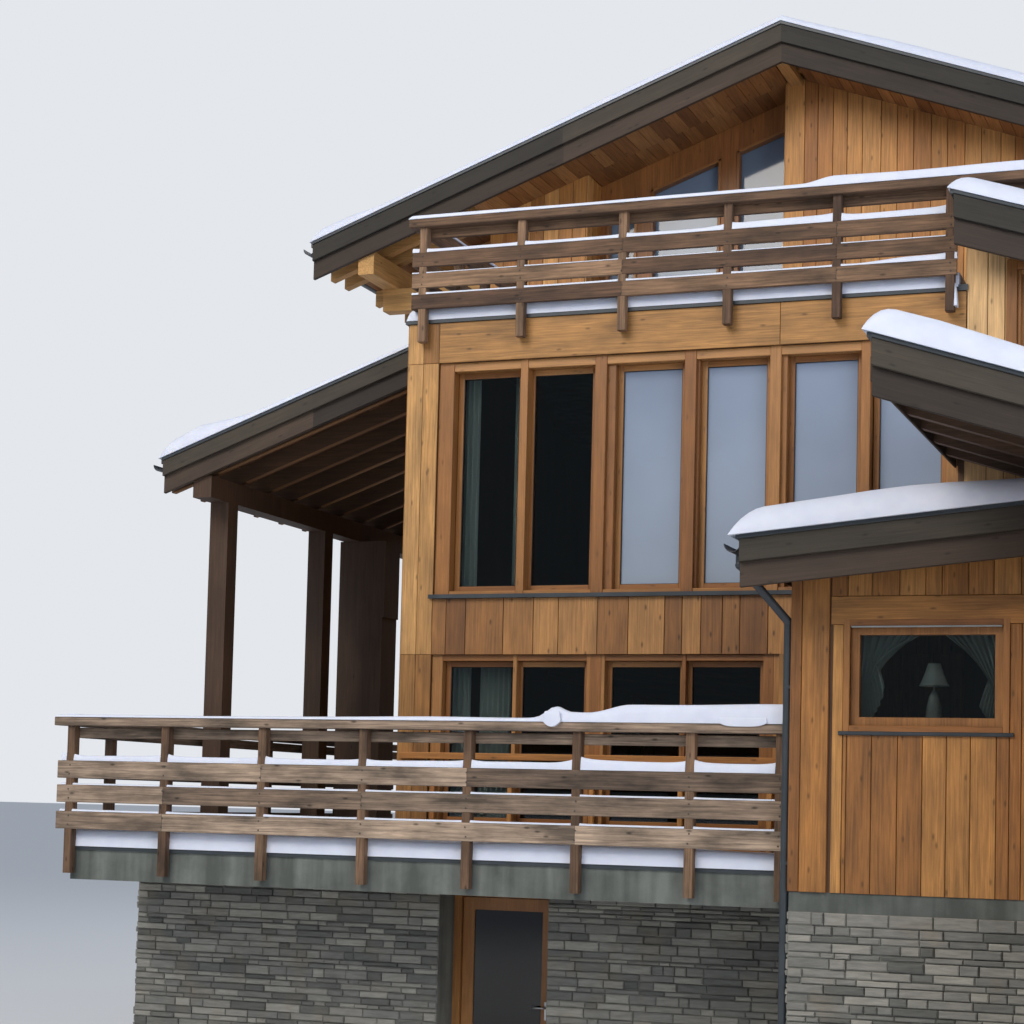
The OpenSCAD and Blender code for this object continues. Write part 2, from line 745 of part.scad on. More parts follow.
module gable_glass() {
  lower = glazing_head - glazing_edge;
  color(glass) along_y(house_y0 + recess_d + frame_d, house_y0 + recess_d + frame_d + glass_t) polygon([
    [glazing_x, deck_z], [glazing_x1, deck_z], [glazing_x1, wall_top(glazing_x1) - lower],
    [glazing_x, wall_top(glazing_x) - lower]
  ]);
}

module house_left_wall() {
  color(wood_warm) along_x(house_x0, house_x0 + wall_t) difference() {
    translate([house_y0 + wall_t, floor_z]) square([house_d - 2 * wall_t, wall_top(house_x0) - floor_z]);
    window_holes(left_windows);
  }
}

module house_right_wall() {
  color(wood_warm) along_x(house_x1 - wall_t, house_x1) difference() {
    union() {
      translate([house_y0, floor_z]) square([2 * wall_t, deck_z - floor_z]);
      translate([house_y0 + wall_t, floor_z]) square([house_d - 2 * wall_t, wall_top(house_x1) - floor_z]);
    }
    window_holes(right_windows);
  }
}

module house_rear_wall() {
  color(wood_warm) difference() {
    along_y(house_y1 - wall_t, house_y1) difference() {
      polygon([
        [house_x0, floor_z], [house_x1, floor_z], [house_x1, wall_top(house_x1)],
        [ridge_x, wall_top(ridge_x)], [house_x0, wall_top(house_x0)]
      ]);
      window_holes(rear_windows);
    }
    ridge_slot();
  }
}

// Plain windows of the house, the right block, the wing and the annex
module plain_windows_along(kind, inset, depth) {
  along_x(house_x0 + inset, house_x0 + inset + depth) for (w = left_windows) window_part(kind, w);
  along_x(house_x1 - inset - depth, house_x1 - inset) for (w = right_windows) window_part(kind, w);
  along_y(house_y1 - inset - depth, house_y1 - inset) for (w = rear_windows) window_part(kind, w);
  along_y(-annex_front + inset, -annex_front + inset + depth) window_part(kind, annex_window);
  along_y(inset, inset + depth) window_part(kind, right_window);
  along_y(wing_y0 + inset, wing_y0 + inset + depth) window_part(kind, wing_front_window);
  along_x(wing_x1 - inset - depth, wing_x1 - inset) for (w = wing_right_windows) window_part(kind, w);
}

module plain_window_frames() {
  color(wood_frame) plain_windows_along("bars", frame_set, frame_d);
}

module plain_window_glass() {
  color(glass) plain_windows_along("panes", frame_set + (frame_d - glass_t) / 2, glass_t);
}

// Two barge boards at a sloping edge: the upper one outside the deck, the lower one set back under it
module barge_pair(edge, inward, x0, z0, x1, z1, height) {
  along_y(min(edge, edge - inward * barge_t), max(edge, edge - inward * barge_t))
    strip(x0, z0, x1, z1, 0, height / 2);
  along_y(min(edge, edge + inward * barge_t), max(edge, edge + inward * barge_t))
    strip(x0, z0, x1, z1, roof_t, height);
}

// Main roof: deck on rafters, rafters on walls and purlins, purlins on the gables and on outriggers
rafter_first = house_y0 + (wall_t - rafter_w) / 2;
rafter_last = house_y1 - (wall_t + rafter_w) / 2;
rafter_ys = spread(rafter_first, rafter_last, rafter_pitch);
verge_rafter_ys = [rafter_first - main_verge / 2, rafter_last + main_verge / 2];
purlin_in = 500;
purlin_x0 = roof_x0 + purlin_in;
purlin_x1 = roof_x1 - purlin_in - purlin_w;
ridge_beam_low = wall_top(ridge_x) - ridge_beam_h;
outrigger_ys = [house_y0, house_y0 + (house_d - purlin_w) / 2, house_y1 - purlin_w];

module main_roof_deck() {
  color(wood_dark) along_y(roof_y0, roof_y1) main_slopes(roof_x0, roof_x1, 0, roof_t);
}

module main_rafters() {
  color(wood_light) for (y = concat(rafter_ys, verge_rafter_ys))
    along_y(y, y + rafter_w) {
      strip(roof_x0, main_z(roof_x0), ridge_x - slim, main_z(ridge_x - slim), roof_t, rafter_low);
      strip(ridge_x + slim, main_z(ridge_x + slim), roof_x1, main_z(roof_x1), roof_t, rafter_low);
    }
}

function purlin_top(x) = wall_top(ridge_x + max(abs(x - ridge_x), abs(x + purlin_w - ridge_x)));

module eave_purlin(x) {
  block([x, roof_y0 + barge_t, purlin_top(x) - purlin_h], [x + purlin_w, roof_y1 - barge_t, purlin_top(x)]);
}

// Beams that run out from the side walls under the eave purlins
module purlin_outriggers() {
  height = purlin_h - slim;
  color(wood_light) for (y = outrigger_ys) {
    block([purlin_x0, y, purlin_top(purlin_x0) - purlin_h - height],
      [house_x0, y + purlin_w, purlin_top(purlin_x0) - purlin_h]);
    block([house_x1, y, purlin_top(purlin_x1) - purlin_h - height],
      [purlin_x1 + purlin_w, y + purlin_w, purlin_top(purlin_x1) - purlin_h]);
  }
}

module main_purlins() {
  color(wood_light) {
    eave_purlin(purlin_x0);
    eave_purlin(purlin_x1);
    along_y(roof_y0 + barge_t, roof_y1 - barge_t) polygon([
      [ridge_x - ridge_beam_w / 2, ridge_beam_low], [ridge_x + ridge_beam_w / 2, ridge_beam_low],
      [ridge_x + ridge_beam_w / 2, wall_top(ridge_x + ridge_beam_w / 2)], [ridge_x, wall_top(ridge_x)],
      [ridge_x - ridge_beam_w / 2, wall_top(ridge_x - ridge_beam_w / 2)]
    ]);
  }
}

// Slot in a gable wall for the ridge beam
module ridge_slot() {
  block([ridge_x - ridge_beam_w / 2, roof_y0, ridge_beam_low],
    [ridge_x + ridge_beam_w / 2, roof_y1, ridge_z]);
}

module main_barge_boards() {
  color(wood_dark) for (end = [[roof_y0, 1], [roof_y1, -1]]) {
    barge_pair(end[0], end[1], roof_x0, main_z(roof_x0), ridge_x - slim, main_z(ridge_x - slim), barge_h);
    barge_pair(end[0], end[1], ridge_x + slim, main_z(ridge_x + slim), roof_x1, main_z(roof_x1), barge_h);
  }
}

// Boards that close the gaps between rafters over a side wall
module eave_blocking() {
  board = 40;
  color(wood_warm) {
    for (i = [0:len(rafter_ys) - 2], side = [-1, 1]) {
      x = side < 0 ? house_x0 : house_x1 - board;
      along_y(rafter_ys[i] + rafter_w, rafter_ys[i + 1])
        strip(x, main_z(x), x + board, main_z(x + board), roof_t, rafter_low);
    }
    for (i = [0:len(wing_rafter_ys) - 2]) {
      y0 = wing_rafter_ys[i] + rafter_w;
      y1 = wing_rafter_ys[i + 1];
      if (y0 >= wing_y0) along_y(y0, y1) strip(wing_x1 - board, wing_z(wing_x1 - board), wing_x1,
        wing_z(wing_x1), roof_t, wing_low);
      if (y0 >= wing_y0 && y1 <= 0) along_y(y0, y1) strip(wing_x, wing_z(wing_x), wing_x + board,
        wing_z(wing_x + board), roof_t, wing_low);
    }
  }
}

module gutter_profile() {
  difference() {
    circle(r = gutter_r, $fn = 32);
    circle(r = gutter_r - 5, $fn = 32);
    translate([-gutter_r, 0]) square([2 * gutter_r, gutter_r]);
  }
}

// Gutter hung on an eave between two places, on the given side of its edge
module gutter(y0, y1, x, z, side) {
  along_y(y0, y1) translate([x + side * gutter_r, z - gutter_drop]) gutter_profile();
}

// Round pipe from one point to another
module pipe(p, q) {
  d = q - p;
  translate(p) rotate([0, acos(d[2] / norm(d)), atan2(d[1], d[0])])
    cylinder(r = pipe_r, h = norm(d), $fn = 24);
}

gutter_drop = 50;

module gutters() {
  color(metal) {
    gutter(roof_y0, roof_y1, roof_x0, main_z(roof_x0), -1);
    gutter(roof_y0, roof_y1, roof_x1, main_z(roof_x1), 1);
    gutter(lean_front, terrace_l, lean_x1, lean_z(lean_x1), -1);
    gutter(wing_roof_y0, house_y0 + back_eave, wing_roof_x1, wing_z(wing_roof_x1), 1);
    gutter(-annex_front - annex_verge, -back_eave, annex_x - annex_eave, annex_top_z, -1);
  }
}

// Downpipe of the annex: a swan neck from the gutter to the wall, and a straight pipe held by two clips
pipe_gap = 0.3;
pipe_clear = 15;
clip_h = 25;
elbow_r = pipe_r + 4;
stub = 70;
pipe_x = annex_x - pipe_r - pipe_clear;
pipe_y = -annex_front + pipe_r + pipe_clear;
neck_z = annex_top_z - 600;
outlet_x = annex_x - annex_eave - gutter_r;
outlet_y = -annex_front - annex_verge / 2;
outlet_z = annex_top_z - gutter_drop;

module downpipe() {
  bend = [outlet_x, outlet_y, outlet_z - gutter_r - stub];
  neck = [pipe_x, pipe_y, neck_z];
  pipe_top = neck_z - stub;
  color(metal) {
    difference() {
      union() {
        pipe(bend, [outlet_x, outlet_y, outlet_z]);
        pipe(bend, neck);
        pipe(neck - [0, 0, stub - pipe_gap], neck);
        for (p = [bend, neck]) translate(p) sphere(r = elbow_r, $fn = 24);
      }
      along_y(outlet_y - 200, outlet_y + 200) translate([outlet_x, outlet_z])
        circle(r = gutter_r + pipe_gap, $fn = 32);
    }
    translate([pipe_x, pipe_y, 0]) cylinder(r = pipe_r, h = pipe_top, $fn = 24);
    for (z = [pipe_top - 450, floor_z + 200])
      block([pipe_x, pipe_y - pipe_r, z], [annex_x, pipe_y + pipe_r, z + clip_h]);
  }
}

// Lean-to roof over the side terrace
lean_low = roof_t + lean_rafter_h;
lean_barge_h = lean_low + 20;
lean_rafter_ys = spread(lean_front + 150, terrace_l - lean_rafter_w - 100, 620);
lean_beam_top = lean_z(-lean_post_x - lean_post / 2) - lean_low + 30;
lean_beam_h = 210;
lean_beam_low = lean_beam_top - lean_beam_h;
lean_post_ys = [lean_front + 400, block_d];
lean_pier_x = -lean_post_x - lean_post / 2 - 40;
lean_pier_y = block_d + 900;
lean_pier_d = 400;
lean_head_z = lean_beam_low - 855;

module lean_cut() {
  block([house_x0, house_y0, 0], [block_w, long, long]);
}

module lean_to_roof() {
  color(wood_dark) difference() {
    union() {
      along_y(lean_front, terrace_l) strip(lean_x1, lean_z(lean_x1), 0, lean_z(0), 0, roof_t);
      barge_pair(lean_front, 1, lean_x1, lean_z(lean_x1), 0, lean_z(0), lean_barge_h);
      barge_pair(terrace_l, -1, lean_x1, lean_z(lean_x1), 0, lean_z(0), lean_barge_h);
    }
    lean_cut();
  }
}

module lean_to_rafters() {
  color(wood_warm) difference() {
    for (y = lean_rafter_ys) along_y(y, y + lean_rafter_w)
      strip(lean_x1, lean_z(lean_x1), 0, lean_z(0), roof_t, lean_low);
    lean_cut();
    lean_to_posts();
  }
}

// Beam that carries the rafters, on two square posts and a wide pier with a head block
module lean_to_posts() {
  color(wood_warm) {
    block([-lean_post_x - lean_post / 2, lean_front + barge_t, lean_beam_low],
      [-lean_post_x + lean_post / 2, terrace_l - barge_t, lean_beam_top]);
    for (y = lean_post_ys) block([-lean_post_x - lean_post / 2, y, slab_top],
      [-lean_post_x + lean_post / 2, y + lean_post, lean_beam_low + slim]);
    block([lean_pier_x, lean_pier_y, slab_top],
      [lean_pier_x + lean_pier_w, lean_pier_y + lean_pier_d, lean_head_z]);
    block([lean_pier_x, lean_pier_y, lean_head_z - slim],
      [lean_pier_x + lean_pier_w + 20, lean_pier_y + lean_pier_d, lean_beam_low + slim]);
  }
}

// Right block
module under_right_roof() {
  difference() {
    children();
    along_y(-long, long) strip(right_roof_x0, right_top_z, right_roof_x1, right_z(right_roof_x1), -long,
      roof_t + seat);
  }
}

module right_front_wall() {
  color(wood_light) under_right_roof() along_y(0, side_wall_t) difference() {
    translate([right_x, floor_z]) square([right_w, right_top_z - floor_z]);
    window_holes([right_window]);
  }
}

module right_side_walls() {
  color(wood_light) under_right_roof() {
    block([right_x1 - side_wall_t, side_wall_t, floor_z], [right_x1, house_y0, right_top_z]);
    block([house_x1, house_y0 - side_wall_t, floor_z], [right_x1 - slim, house_y0, right_top_z]);
    block([right_x, side_wall_t, deck_z], [right_x + side_wall_t, house_y0, right_top_z]);
  }
}

module right_block_roof() {
  color(wood_dark) {
    along_y(-right_verge, house_y0) strip(right_roof_x0, right_top_z, right_roof_x1,
      right_z(right_roof_x1), 0, roof_t);
    along_y(house_y0 - slim, house_y0 + back_eave) strip(house_x1, right_z(house_x1), right_roof_x1,
      right_z(right_roof_x1), 0, roof_t);
    barge_pair(-right_verge, 1, right_roof_x0, right_top_z, right_roof_x1, right_z(right_roof_x1), 420);
  }
}

// Wing
wing_low = roof_t + 150;
wing_rafter_ys = concat(
  [wing_roof_y0 + 250],
  spread(wing_y0 + (side_wall_t - rafter_w) / 2, house_y0 - (side_wall_t + rafter_w) / 2, wing_pitch)
);

module under_wing_roof(low) {
  difference() {
    children();
    along_y(-long, long) strip(wing_roof_x0, wing_top_z, wing_roof_x1, wing_z(wing_roof_x1), -long,
      low + seat);
  }
}

module wing_front_wall() {
  color(wood_warm) under_wing_roof(wing_low) along_y(wing_y0, wing_y0 + side_wall_t) difference() {
    translate([wing_x, floor_z]) square([wing_w, wing_top_z - floor_z]);
    window_holes([wing_front_window]);
  }
}

module wing_right_wall() {
  color(wood_warm) under_wing_roof(wing_low) along_x(wing_x1 - side_wall_t, wing_x1) difference() {
    translate([wing_y0 + side_wall_t, floor_z])
      square([house_y0 - wing_y0 - side_wall_t, wing_top_z - floor_z]);
    window_holes(wing_right_windows);
  }
}

module wing_plain_walls() {
  color(wood_warm) under_wing_roof(wing_low) {
    block([wing_x, wing_y0 + side_wall_t, floor_z], [wing_x + side_wall_t, 0, wing_top_z]);
    block([right_x1, house_y0 - side_wall_t, floor_z], [wing_x1 - side_wall_t, house_y0, wing_top_z]);
  }
}

module wing_roof() {
  color(wood_dark) {
    along_y(wing_roof_y0, 0) strip(wing_roof_x0, wing_top_z, wing_roof_x1, wing_z(wing_roof_x1), 0, roof_t);
    along_y(-slim, house_y0 + back_eave) strip(right_x1, wing_z(right_x1), wing_roof_x1, wing_z(wing_roof_x1),
      0, roof_t);
    barge_pair(wing_roof_y0, 1, wing_roof_x0, wing_top_z, wing_roof_x1, wing_z(wing_roof_x1), 400);
  }
}

module wing_rafters() {
  color(wood_dark) difference() {
    for (y = wing_rafter_ys) along_y(y, y + rafter_w)
      strip(wing_roof_x0, wing_top_z, wing_roof_x1, wing_z(wing_roof_x1), roof_t, wing_low);
    block([0, 0, 0], [right_x1, house_y0, long]);
  }
}

// Annex
module annex_walls() {
  color(wood_warm) difference() {
    union() {
      along_y(-annex_front, -annex_front + side_wall_t) difference() {
        translate([annex_x, floor_z]) square([wing_x - annex_x, annex_top_z]);
        window_holes([annex_window]);
      }
      block([annex_x, -annex_front + side_wall_t - slim, floor_z],
        [annex_x + side_wall_t, 0, 2 * annex_top_z]);
    }
    along_y(-long, long) strip(annex_x - annex_eave, annex_top_z, wing_x + 1, annex_z(wing_x + 1),
      -long, roof_t + seat);
  }
}

module annex_roof() {
  color(wood_dark) {
    along_y(-annex_front - annex_verge, 0) strip(annex_x - annex_eave, annex_top_z, wing_x, annex_z(wing_x),
      0, roof_t);
    barge_pair(-annex_front - annex_verge, 1, annex_x - annex_eave, annex_top_z, wing_x, annex_z(wing_x),
      barge_h);
  }
}

// The model centred on its footprint, with the lowest ground at zero
module on_site() {
  translate(site) children();
}

on_site() basement_front_left();
on_site() basement_front_right();
on_site() basement_house_walls();
on_site() side_stone_base();
on_site() basement_floor();
on_site() door_frame();
on_site() door_leaf();
on_site() door_glass();
on_site() balcony_slab();
on_site() main_floor();
on_site() upper_floor();
on_site() terrace_deck();
on_site() block_left_wall();
on_site() block_header();
on_site() block_band();
on_site() lower_front_wall();
on_site() ribbon_frame();
on_site() ribbon_glass();
on_site() french_frame();
on_site() french_glass();
on_site() guard_rail();
on_site() sheet_metal_edges();
on_site() balcony_posts();
on_site() balcony_rails();
on_site() terrace_posts();
on_site() terrace_rails();
on_site() gable_left_panel();
on_site() gable_right_panel();
on_site() gable_glazing_frame();
on_site() gable_glass();
on_site() house_left_wall();
on_site() house_right_wall();
on_site() house_rear_wall();
on_site() plain_window_frames();
on_site() plain_window_glass();
on_site() main_roof_deck();
on_site() main_rafters();
on_site() main_purlins();
on_site() purlin_outriggers();
on_site() main_barge_boards();
on_site() eave_blocking();
on_site() gutters();
on_site() downpipe();
on_site() lean_to_roof();
on_site() lean_to_rafters();
on_site() lean_to_posts();
on_site() right_front_wall();
on_site() right_side_walls();
on_site() right_block_roof();
on_site() wing_front_wall();
on_site() wing_right_wall();
on_site() wing_plain_walls();
on_site() wing_roof();
on_site() wing_rafters();
on_site() annex_walls();
on_site() annex_roof();
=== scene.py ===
# Alpine chalet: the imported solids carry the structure, and this file dresses them.
# Lengths are metres. Places are measured from the front block's left corner at ground level,
# X along the front, Y towards the back, Z up, and moved onto the frame by one shift.
import math

import bpy
import numpy as np
from mathutils import Matrix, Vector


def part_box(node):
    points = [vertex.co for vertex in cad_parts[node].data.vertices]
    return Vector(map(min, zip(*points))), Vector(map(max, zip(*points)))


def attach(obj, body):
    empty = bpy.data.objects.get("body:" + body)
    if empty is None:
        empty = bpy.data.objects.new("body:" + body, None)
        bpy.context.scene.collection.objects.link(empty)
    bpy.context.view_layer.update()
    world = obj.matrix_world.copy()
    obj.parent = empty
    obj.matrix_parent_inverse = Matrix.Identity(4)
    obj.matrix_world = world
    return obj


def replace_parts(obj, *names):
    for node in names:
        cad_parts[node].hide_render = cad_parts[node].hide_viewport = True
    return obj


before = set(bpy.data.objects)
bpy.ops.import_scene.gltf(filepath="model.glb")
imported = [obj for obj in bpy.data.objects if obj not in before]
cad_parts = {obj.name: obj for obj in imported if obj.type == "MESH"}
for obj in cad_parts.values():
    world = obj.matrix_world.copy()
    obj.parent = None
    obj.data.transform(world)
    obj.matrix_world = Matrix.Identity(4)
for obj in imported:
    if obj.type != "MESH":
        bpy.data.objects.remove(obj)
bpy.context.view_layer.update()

# View and light
# The photograph looks up at the front from the right, from a little above the doorstep.
# A long lens, a pale floor and broad soft lamps show the wood at its own colour. Mirror rays see
# dark below and pale above, so the clear panes stay dark.
corner = np.array([*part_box("block_left_wall")[0][:2], 0.0])
scene = bpy.context.scene
scene.view_settings.view_transform = "Standard"


def linear(code):
    """sRGB hex to linear RGBA: c/12.92 up to 0.04045, and ((c + 0.055)/1.055)^2.4 above it."""
    parts = [int(code[i:i + 2], 16) / 255 for i in (1, 3, 5)]
    return [c / 12.92 if c <= 0.04045 else ((c + 0.055) / 1.055) ** 2.4 for c in parts] + [1.0]


def feed(node, inputs):
    """Sets or links a node's inputs by name or number."""
    for key, value in inputs.items():
        if isinstance(value, bpy.types.NodeSocket):
            node.id_data.links.new(value, node.inputs[key])
        else:
            node.inputs[key].default_value = value


def add(tree, kind, inputs, take=0, stops=(), **settings):
    """Adds one node, sets its options, a ramp's stops (place, hex) and its inputs, and gives one output."""
    made = tree.nodes.new("ShaderNode" + kind)
    for key, value in settings.items():
        setattr(made, key, value)
    for at, _ in stops[1:-1]:
        made.color_ramp.elements.new(at)
    for element, (at, code) in zip(made.color_ramp.elements if stops else (), stops):
        element.position, element.color = at, linear(code)
    feed(made, inputs)
    return made.outputs[take] if made.outputs else made


def material(name, **sockets):
    """A new material, its node tree and its shader. Sockets are written with _ for a space."""
    paint = bpy.data.materials.new(name)
    paint.use_nodes = True
    shader = paint.node_tree.nodes["Principled BSDF"]
    feed(shader, {socket.replace("_", " "): value for socket, value in sockets.items()})
    return paint, paint.node_tree, shader


eye = np.array([7.6134, -17.3042, 2.8711]) + corner
yaw, pitch, roll = (math.radians(a) for a in (-20.6805, 3.7443, 1.4296))
aim = np.array([math.sin(yaw) * math.cos(pitch), math.cos(yaw) * math.cos(pitch), math.sin(pitch)])
level = np.array([math.cos(yaw), -math.sin(yaw), 0.0])
right = level * math.cos(roll) + np.cross(level, aim) * math.sin(roll)
lens = bpy.data.cameras.new("view")
lens.sensor_width = 36.0
focal_px, photo_px = 2087.73, 1024  # the fitted focal length and the photograph's width, in pixels
lens.lens = focal_px / photo_px * lens.sensor_width
lens.shift_y = 0.15  # the optical axis lies below the photograph's middle
lens.clip_end = 500
camera = bpy.data.objects.new("view", lens)
turned_view = np.column_stack([right, np.cross(right, aim), -aim, eye])
camera.matrix_world = Matrix([*turned_view.tolist(), [0, 0, 0, 1]])
scene.collection.objects.link(camera)
scene.camera = camera

world = bpy.data.worlds.new("studio")
scene.world = world
world.use_nodes = True
tree = world.node_tree
tree.nodes.clear()
rays = add(tree, "LightPath", {}).node.outputs
upward = add(tree, "SeparateXYZ", {0: add(tree, "TexCoord", {}, take="Generated")}, take=2)
above = add(tree, "MapRange", {0: upward, 1: 0.25, 2: 0.6, 3: 0.0, 4: 1.0})
graded = add(tree, "Mix", {0: above, 6: linear("#585F65"), 7: linear("#C4CEDC")}, take=2, data_type="RGBA")
fill = add(tree, "Background", {"Color": linear("#DCE4F0"), "Strength": 0.62})
mirrored = add(tree, "Background", {"Color": graded})
unseen = add(tree, "MixShader", {0: rays["Is Glossy Ray"], 1: fill, 2: mirrored})
backdrop = add(tree, "Background", {"Color": linear("#E4E7EC")})
add(tree, "OutputWorld", {0: add(tree, "MixShader", {0: rays["Is Camera Ray"], 1: unseen, 2: backdrop})})

for name, place, size, power, tint in (
    ("key", (-9.0, -22.0, 20.0), 12.0, 3800, "#FFF6EA"),
    ("front", (16.0, -20.0, 9.0), 12.0, 1500, "#F4F7FF"),
    ("back", (4.0, 30.0, 18.0), 14.0, 2600, "#FFFFFF"),
):
    lamp = bpy.data.lights.new(name, "AREA")
    lamp.shape = "SQUARE"
    lamp.size = size
    lamp.energy = power
    lamp.color = linear(tint)[:3]
    lamp_object = bpy.data.objects.new(name, lamp)
    lamp_object.location = place
    towards = np.array([0.0, 0.0, 4.0]) - np.array(place)
    lamp_object.rotation_euler = (math.acos(-towards[2] / np.linalg.norm(towards)), 0.0,
                                  math.atan2(towards[1], towards[0]) - math.pi / 2)
    scene.collection.objects.link(lamp_object)

floor_mesh = bpy.data.meshes.new("floor")
reach = 400.0
floor_mesh.from_pydata([(-reach, -reach, 0), (reach, -reach, 0), (reach, reach, 0), (-reach, reach, 0)],
                       [], [(0, 1, 2, 3)])
floor = bpy.data.objects.new("floor", floor_mesh)
scene.collection.objects.link(floor)
floor_mesh.materials.append(material("matt studio floor", Base_Color=linear("#D9DBDE"), Roughness=0.9)[0])


# Stone basement
# Split grey slate laid in low courses on a backing wall, with deep open joints.
# The stones are dressed only on their faces, so each stands out a little differently.
def piece(name, arrays, paint, body="house", smooth=False):
    """Makes one mesh object and rides it on its body. The arrays are points and quads, and where they are
    given one (u, v) in metres and one tone for each point."""
    points, faces, *marks = arrays
    mesh = bpy.data.meshes.new(name)
    mesh.from_pydata((np.asarray(points) + corner).tolist(), [], np.asarray(faces).tolist())
    if marks:
        corners = np.empty(len(mesh.loops), int)
        mesh.loops.foreach_get("vertex_index", corners)
        mesh.uv_layers.new(name="grain").data.foreach_set("uv", marks[0][corners].ravel())
    if len(marks) > 1:
        mesh.attributes.new("tone", "FLOAT", "POINT").data.foreach_set("value", marks[1])
    if smooth:
        mesh.polygons.foreach_set("use_smooth", np.ones(len(mesh.polygons), bool))
    mesh.materials.append(paint)
    made = bpy.data.objects.new(name, mesh)
    scene.collection.objects.link(made)
    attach(made, body)
    return made


def copies(faces, step, count):
    """The quads of count equal meshes of step points each."""
    return (np.asarray(faces)[None] + step * np.arange(count)[:, None, None]).reshape(-1, 4)


def bands(sides, rings):
    """Quads between neighbouring rings of points."""
    k, after = np.arange(sides), (np.arange(sides) + 1) % sides
    return copies(np.stack([k, after, after + sides, k + sides], 1), sides, rings - 1)


def blocks(quads, face, back, fore, chamfer, grain=90.0, rng=None, skew=0.0):
    """Points, quads, uv and tone of many flat blocks on one wall face.
    Each block is a quadrilateral (s, z), run anticlockwise, carried outward from the depth back to
    fore through four rings: edge planed in by the chamfer, full, full, planed in. The face is
    (axis of s, place of the wall, outward sign). u runs along the grain angle and v across it."""
    quads = np.asarray(quads, float)
    count = len(quads)
    axis, wall, sign = face
    middle = quads.mean(1, keepdims=True)
    inner = quads + np.clip(middle - quads, -chamfer, chamfer)
    if skew and rng is not None:
        inner = inner + rng.uniform(-skew, skew, inner.shape)
    fore = np.broadcast_to(np.asarray(fore, float).reshape(-1, 1), (count, 4))
    back = np.broadcast_to(np.asarray(back, float).reshape(-1, 1), (count, 4))
    lip = np.minimum(chamfer, (fore - back) / 3)
    flat = np.stack([inner, quads, quads, inner], 1)
    depth = np.stack([back, back + lip, fore - lip, fore], 1)
    if skew and rng is not None:
        depth[:, 3] += rng.uniform(-skew, skew, (count, 4))
    points = np.zeros((count, 4, 4, 3))
    points[..., axis] = flat[..., 0]
    points[..., 1 - axis] = wall + sign * depth
    points[..., 2] = flat[..., 1]
    faces = np.vstack([[[3, 2, 1, 0], [12, 13, 14, 15]], bands(4, 4)])
    if (sign if axis else -sign) < 0:
        faces = faces[:, ::-1]
    angle = math.radians(grain)
    shift = rng.uniform(0, 40, (2, count, 1, 1)) if rng is not None else np.zeros((2, count, 1, 1))
    along = flat[..., 0] * math.cos(angle) + flat[..., 1] * math.sin(angle)
    across = -flat[..., 0] * math.sin(angle) + flat[..., 1] * math.cos(angle) + depth
    uv = np.stack([along + shift[0], across + shift[1]], -1)
    tone = np.repeat(rng.uniform(0, 1, count) if rng is not None else np.full(count, 0.5), 16)
    return points.reshape(-1, 3), copies(faces, 16, count), uv.reshape(-1, 2), tone


def gather(parts):
    """Joins several meshes' arrays into one mesh's, with the point numbers moved on."""
    starts = np.cumsum([0] + [len(part[0]) for part in parts[:-1]])
    points, faces, *marks = zip(*parts)
    return (np.vstack(points), np.vstack([np.asarray(f) + start for f, start in zip(faces, starts)]),
            *[np.concatenate(mark) for mark in marks])


def rectangle(s0, z0, s1, z1):
    """Corners of an upright rectangle, anticlockwise from the lower left."""
    return [[s0, z0], [s1, z0], [s1, z1], [s0, z1]]


def courses(s0, s1, z0, z1, rng, joint=0.007):
    """Stones in courses 35 to 85 mm high, each 0.09 to 0.36 m long, staggered from course to course."""
    stones = []
    low = z0
    while low < z1 - 0.02:
        high = min(low + rng.uniform(0.035, 0.085), z1)
        if z1 - high < 0.03:
            high = z1
        ends = s0 + np.cumsum(rng.uniform(0.09, 0.36, int((s1 - s0) / 0.09) + 2))
        ends = np.concatenate([[s0], ends[ends < s1 - 0.06], [s1]])
        stones += [rectangle(a + joint / 2, low + joint / 2, b - joint / 2, high - joint / 2)
                   for a, b in zip(ends[:-1], ends[1:])]
        low = high
    return stones


def finish(paint, colour, level, relief=None, strength=0.4, depth=0.003):
    """The surface's colour is colour times level, and its bumps follow relief, depth metres deep."""
    tree = paint.node_tree
    sockets = {"Base Color": add(tree, "VectorMath", {0: colour, 3: level}, operation="SCALE")}
    if relief:
        sockets["Normal"] = add(tree, "Bump", {"Strength": strength, "Distance": depth, "Height": relief})
    feed(tree.nodes["Principled BSDF"], sockets)
    return paint


def split_slate(name):
    """Split grey slate: matte, each stone its own grey, with rust-brown bloom and fine cleavage lines.
    The lines are noise 170 mm along a stone and 25 mm across it, and the bloom is noise of 310 mm."""
    paint, tree, _ = material(name, Roughness=0.85)
    place = add(tree, "TexCoord", {}, take="Object")
    split = add(tree, "VectorMath", {0: place, 1: (6.0, 6.0, 40.0)}, operation="MULTIPLY")
    cleave = add(tree, "TexNoise", {"Vector": split, "Scale": 1.0, "Detail": 6.0, "Roughness": 0.65})
    bloom = add(tree, "TexNoise", {"Vector": place, "Scale": 3.2, "Detail": 4.0})
    tone = add(tree, "Attribute", {}, take="Fac", attribute_name="tone")
    greys = add(tree, "ValToRGB", {"Fac": tone},
                stops=((0.0, "#5C5D59"), (0.35, "#797974"), (0.7, "#898780"), (1.0, "#9C9A91")))
    rusty = add(tree, "MapRange", {0: bloom, 1: 0.52, 2: 0.75, 3: 0.0, 4: 0.38})
    stone = add(tree, "Mix", {0: rusty, 6: greys, 7: linear("#8A7A62")}, take=2, data_type="RGBA")
    shade = add(tree, "MapRange", {0: cleave, 1: 0.3, 2: 0.7, 3: 0.72, 4: 1.18})
    return finish(paint, stone, shade, cleave, 0.5, 0.008)


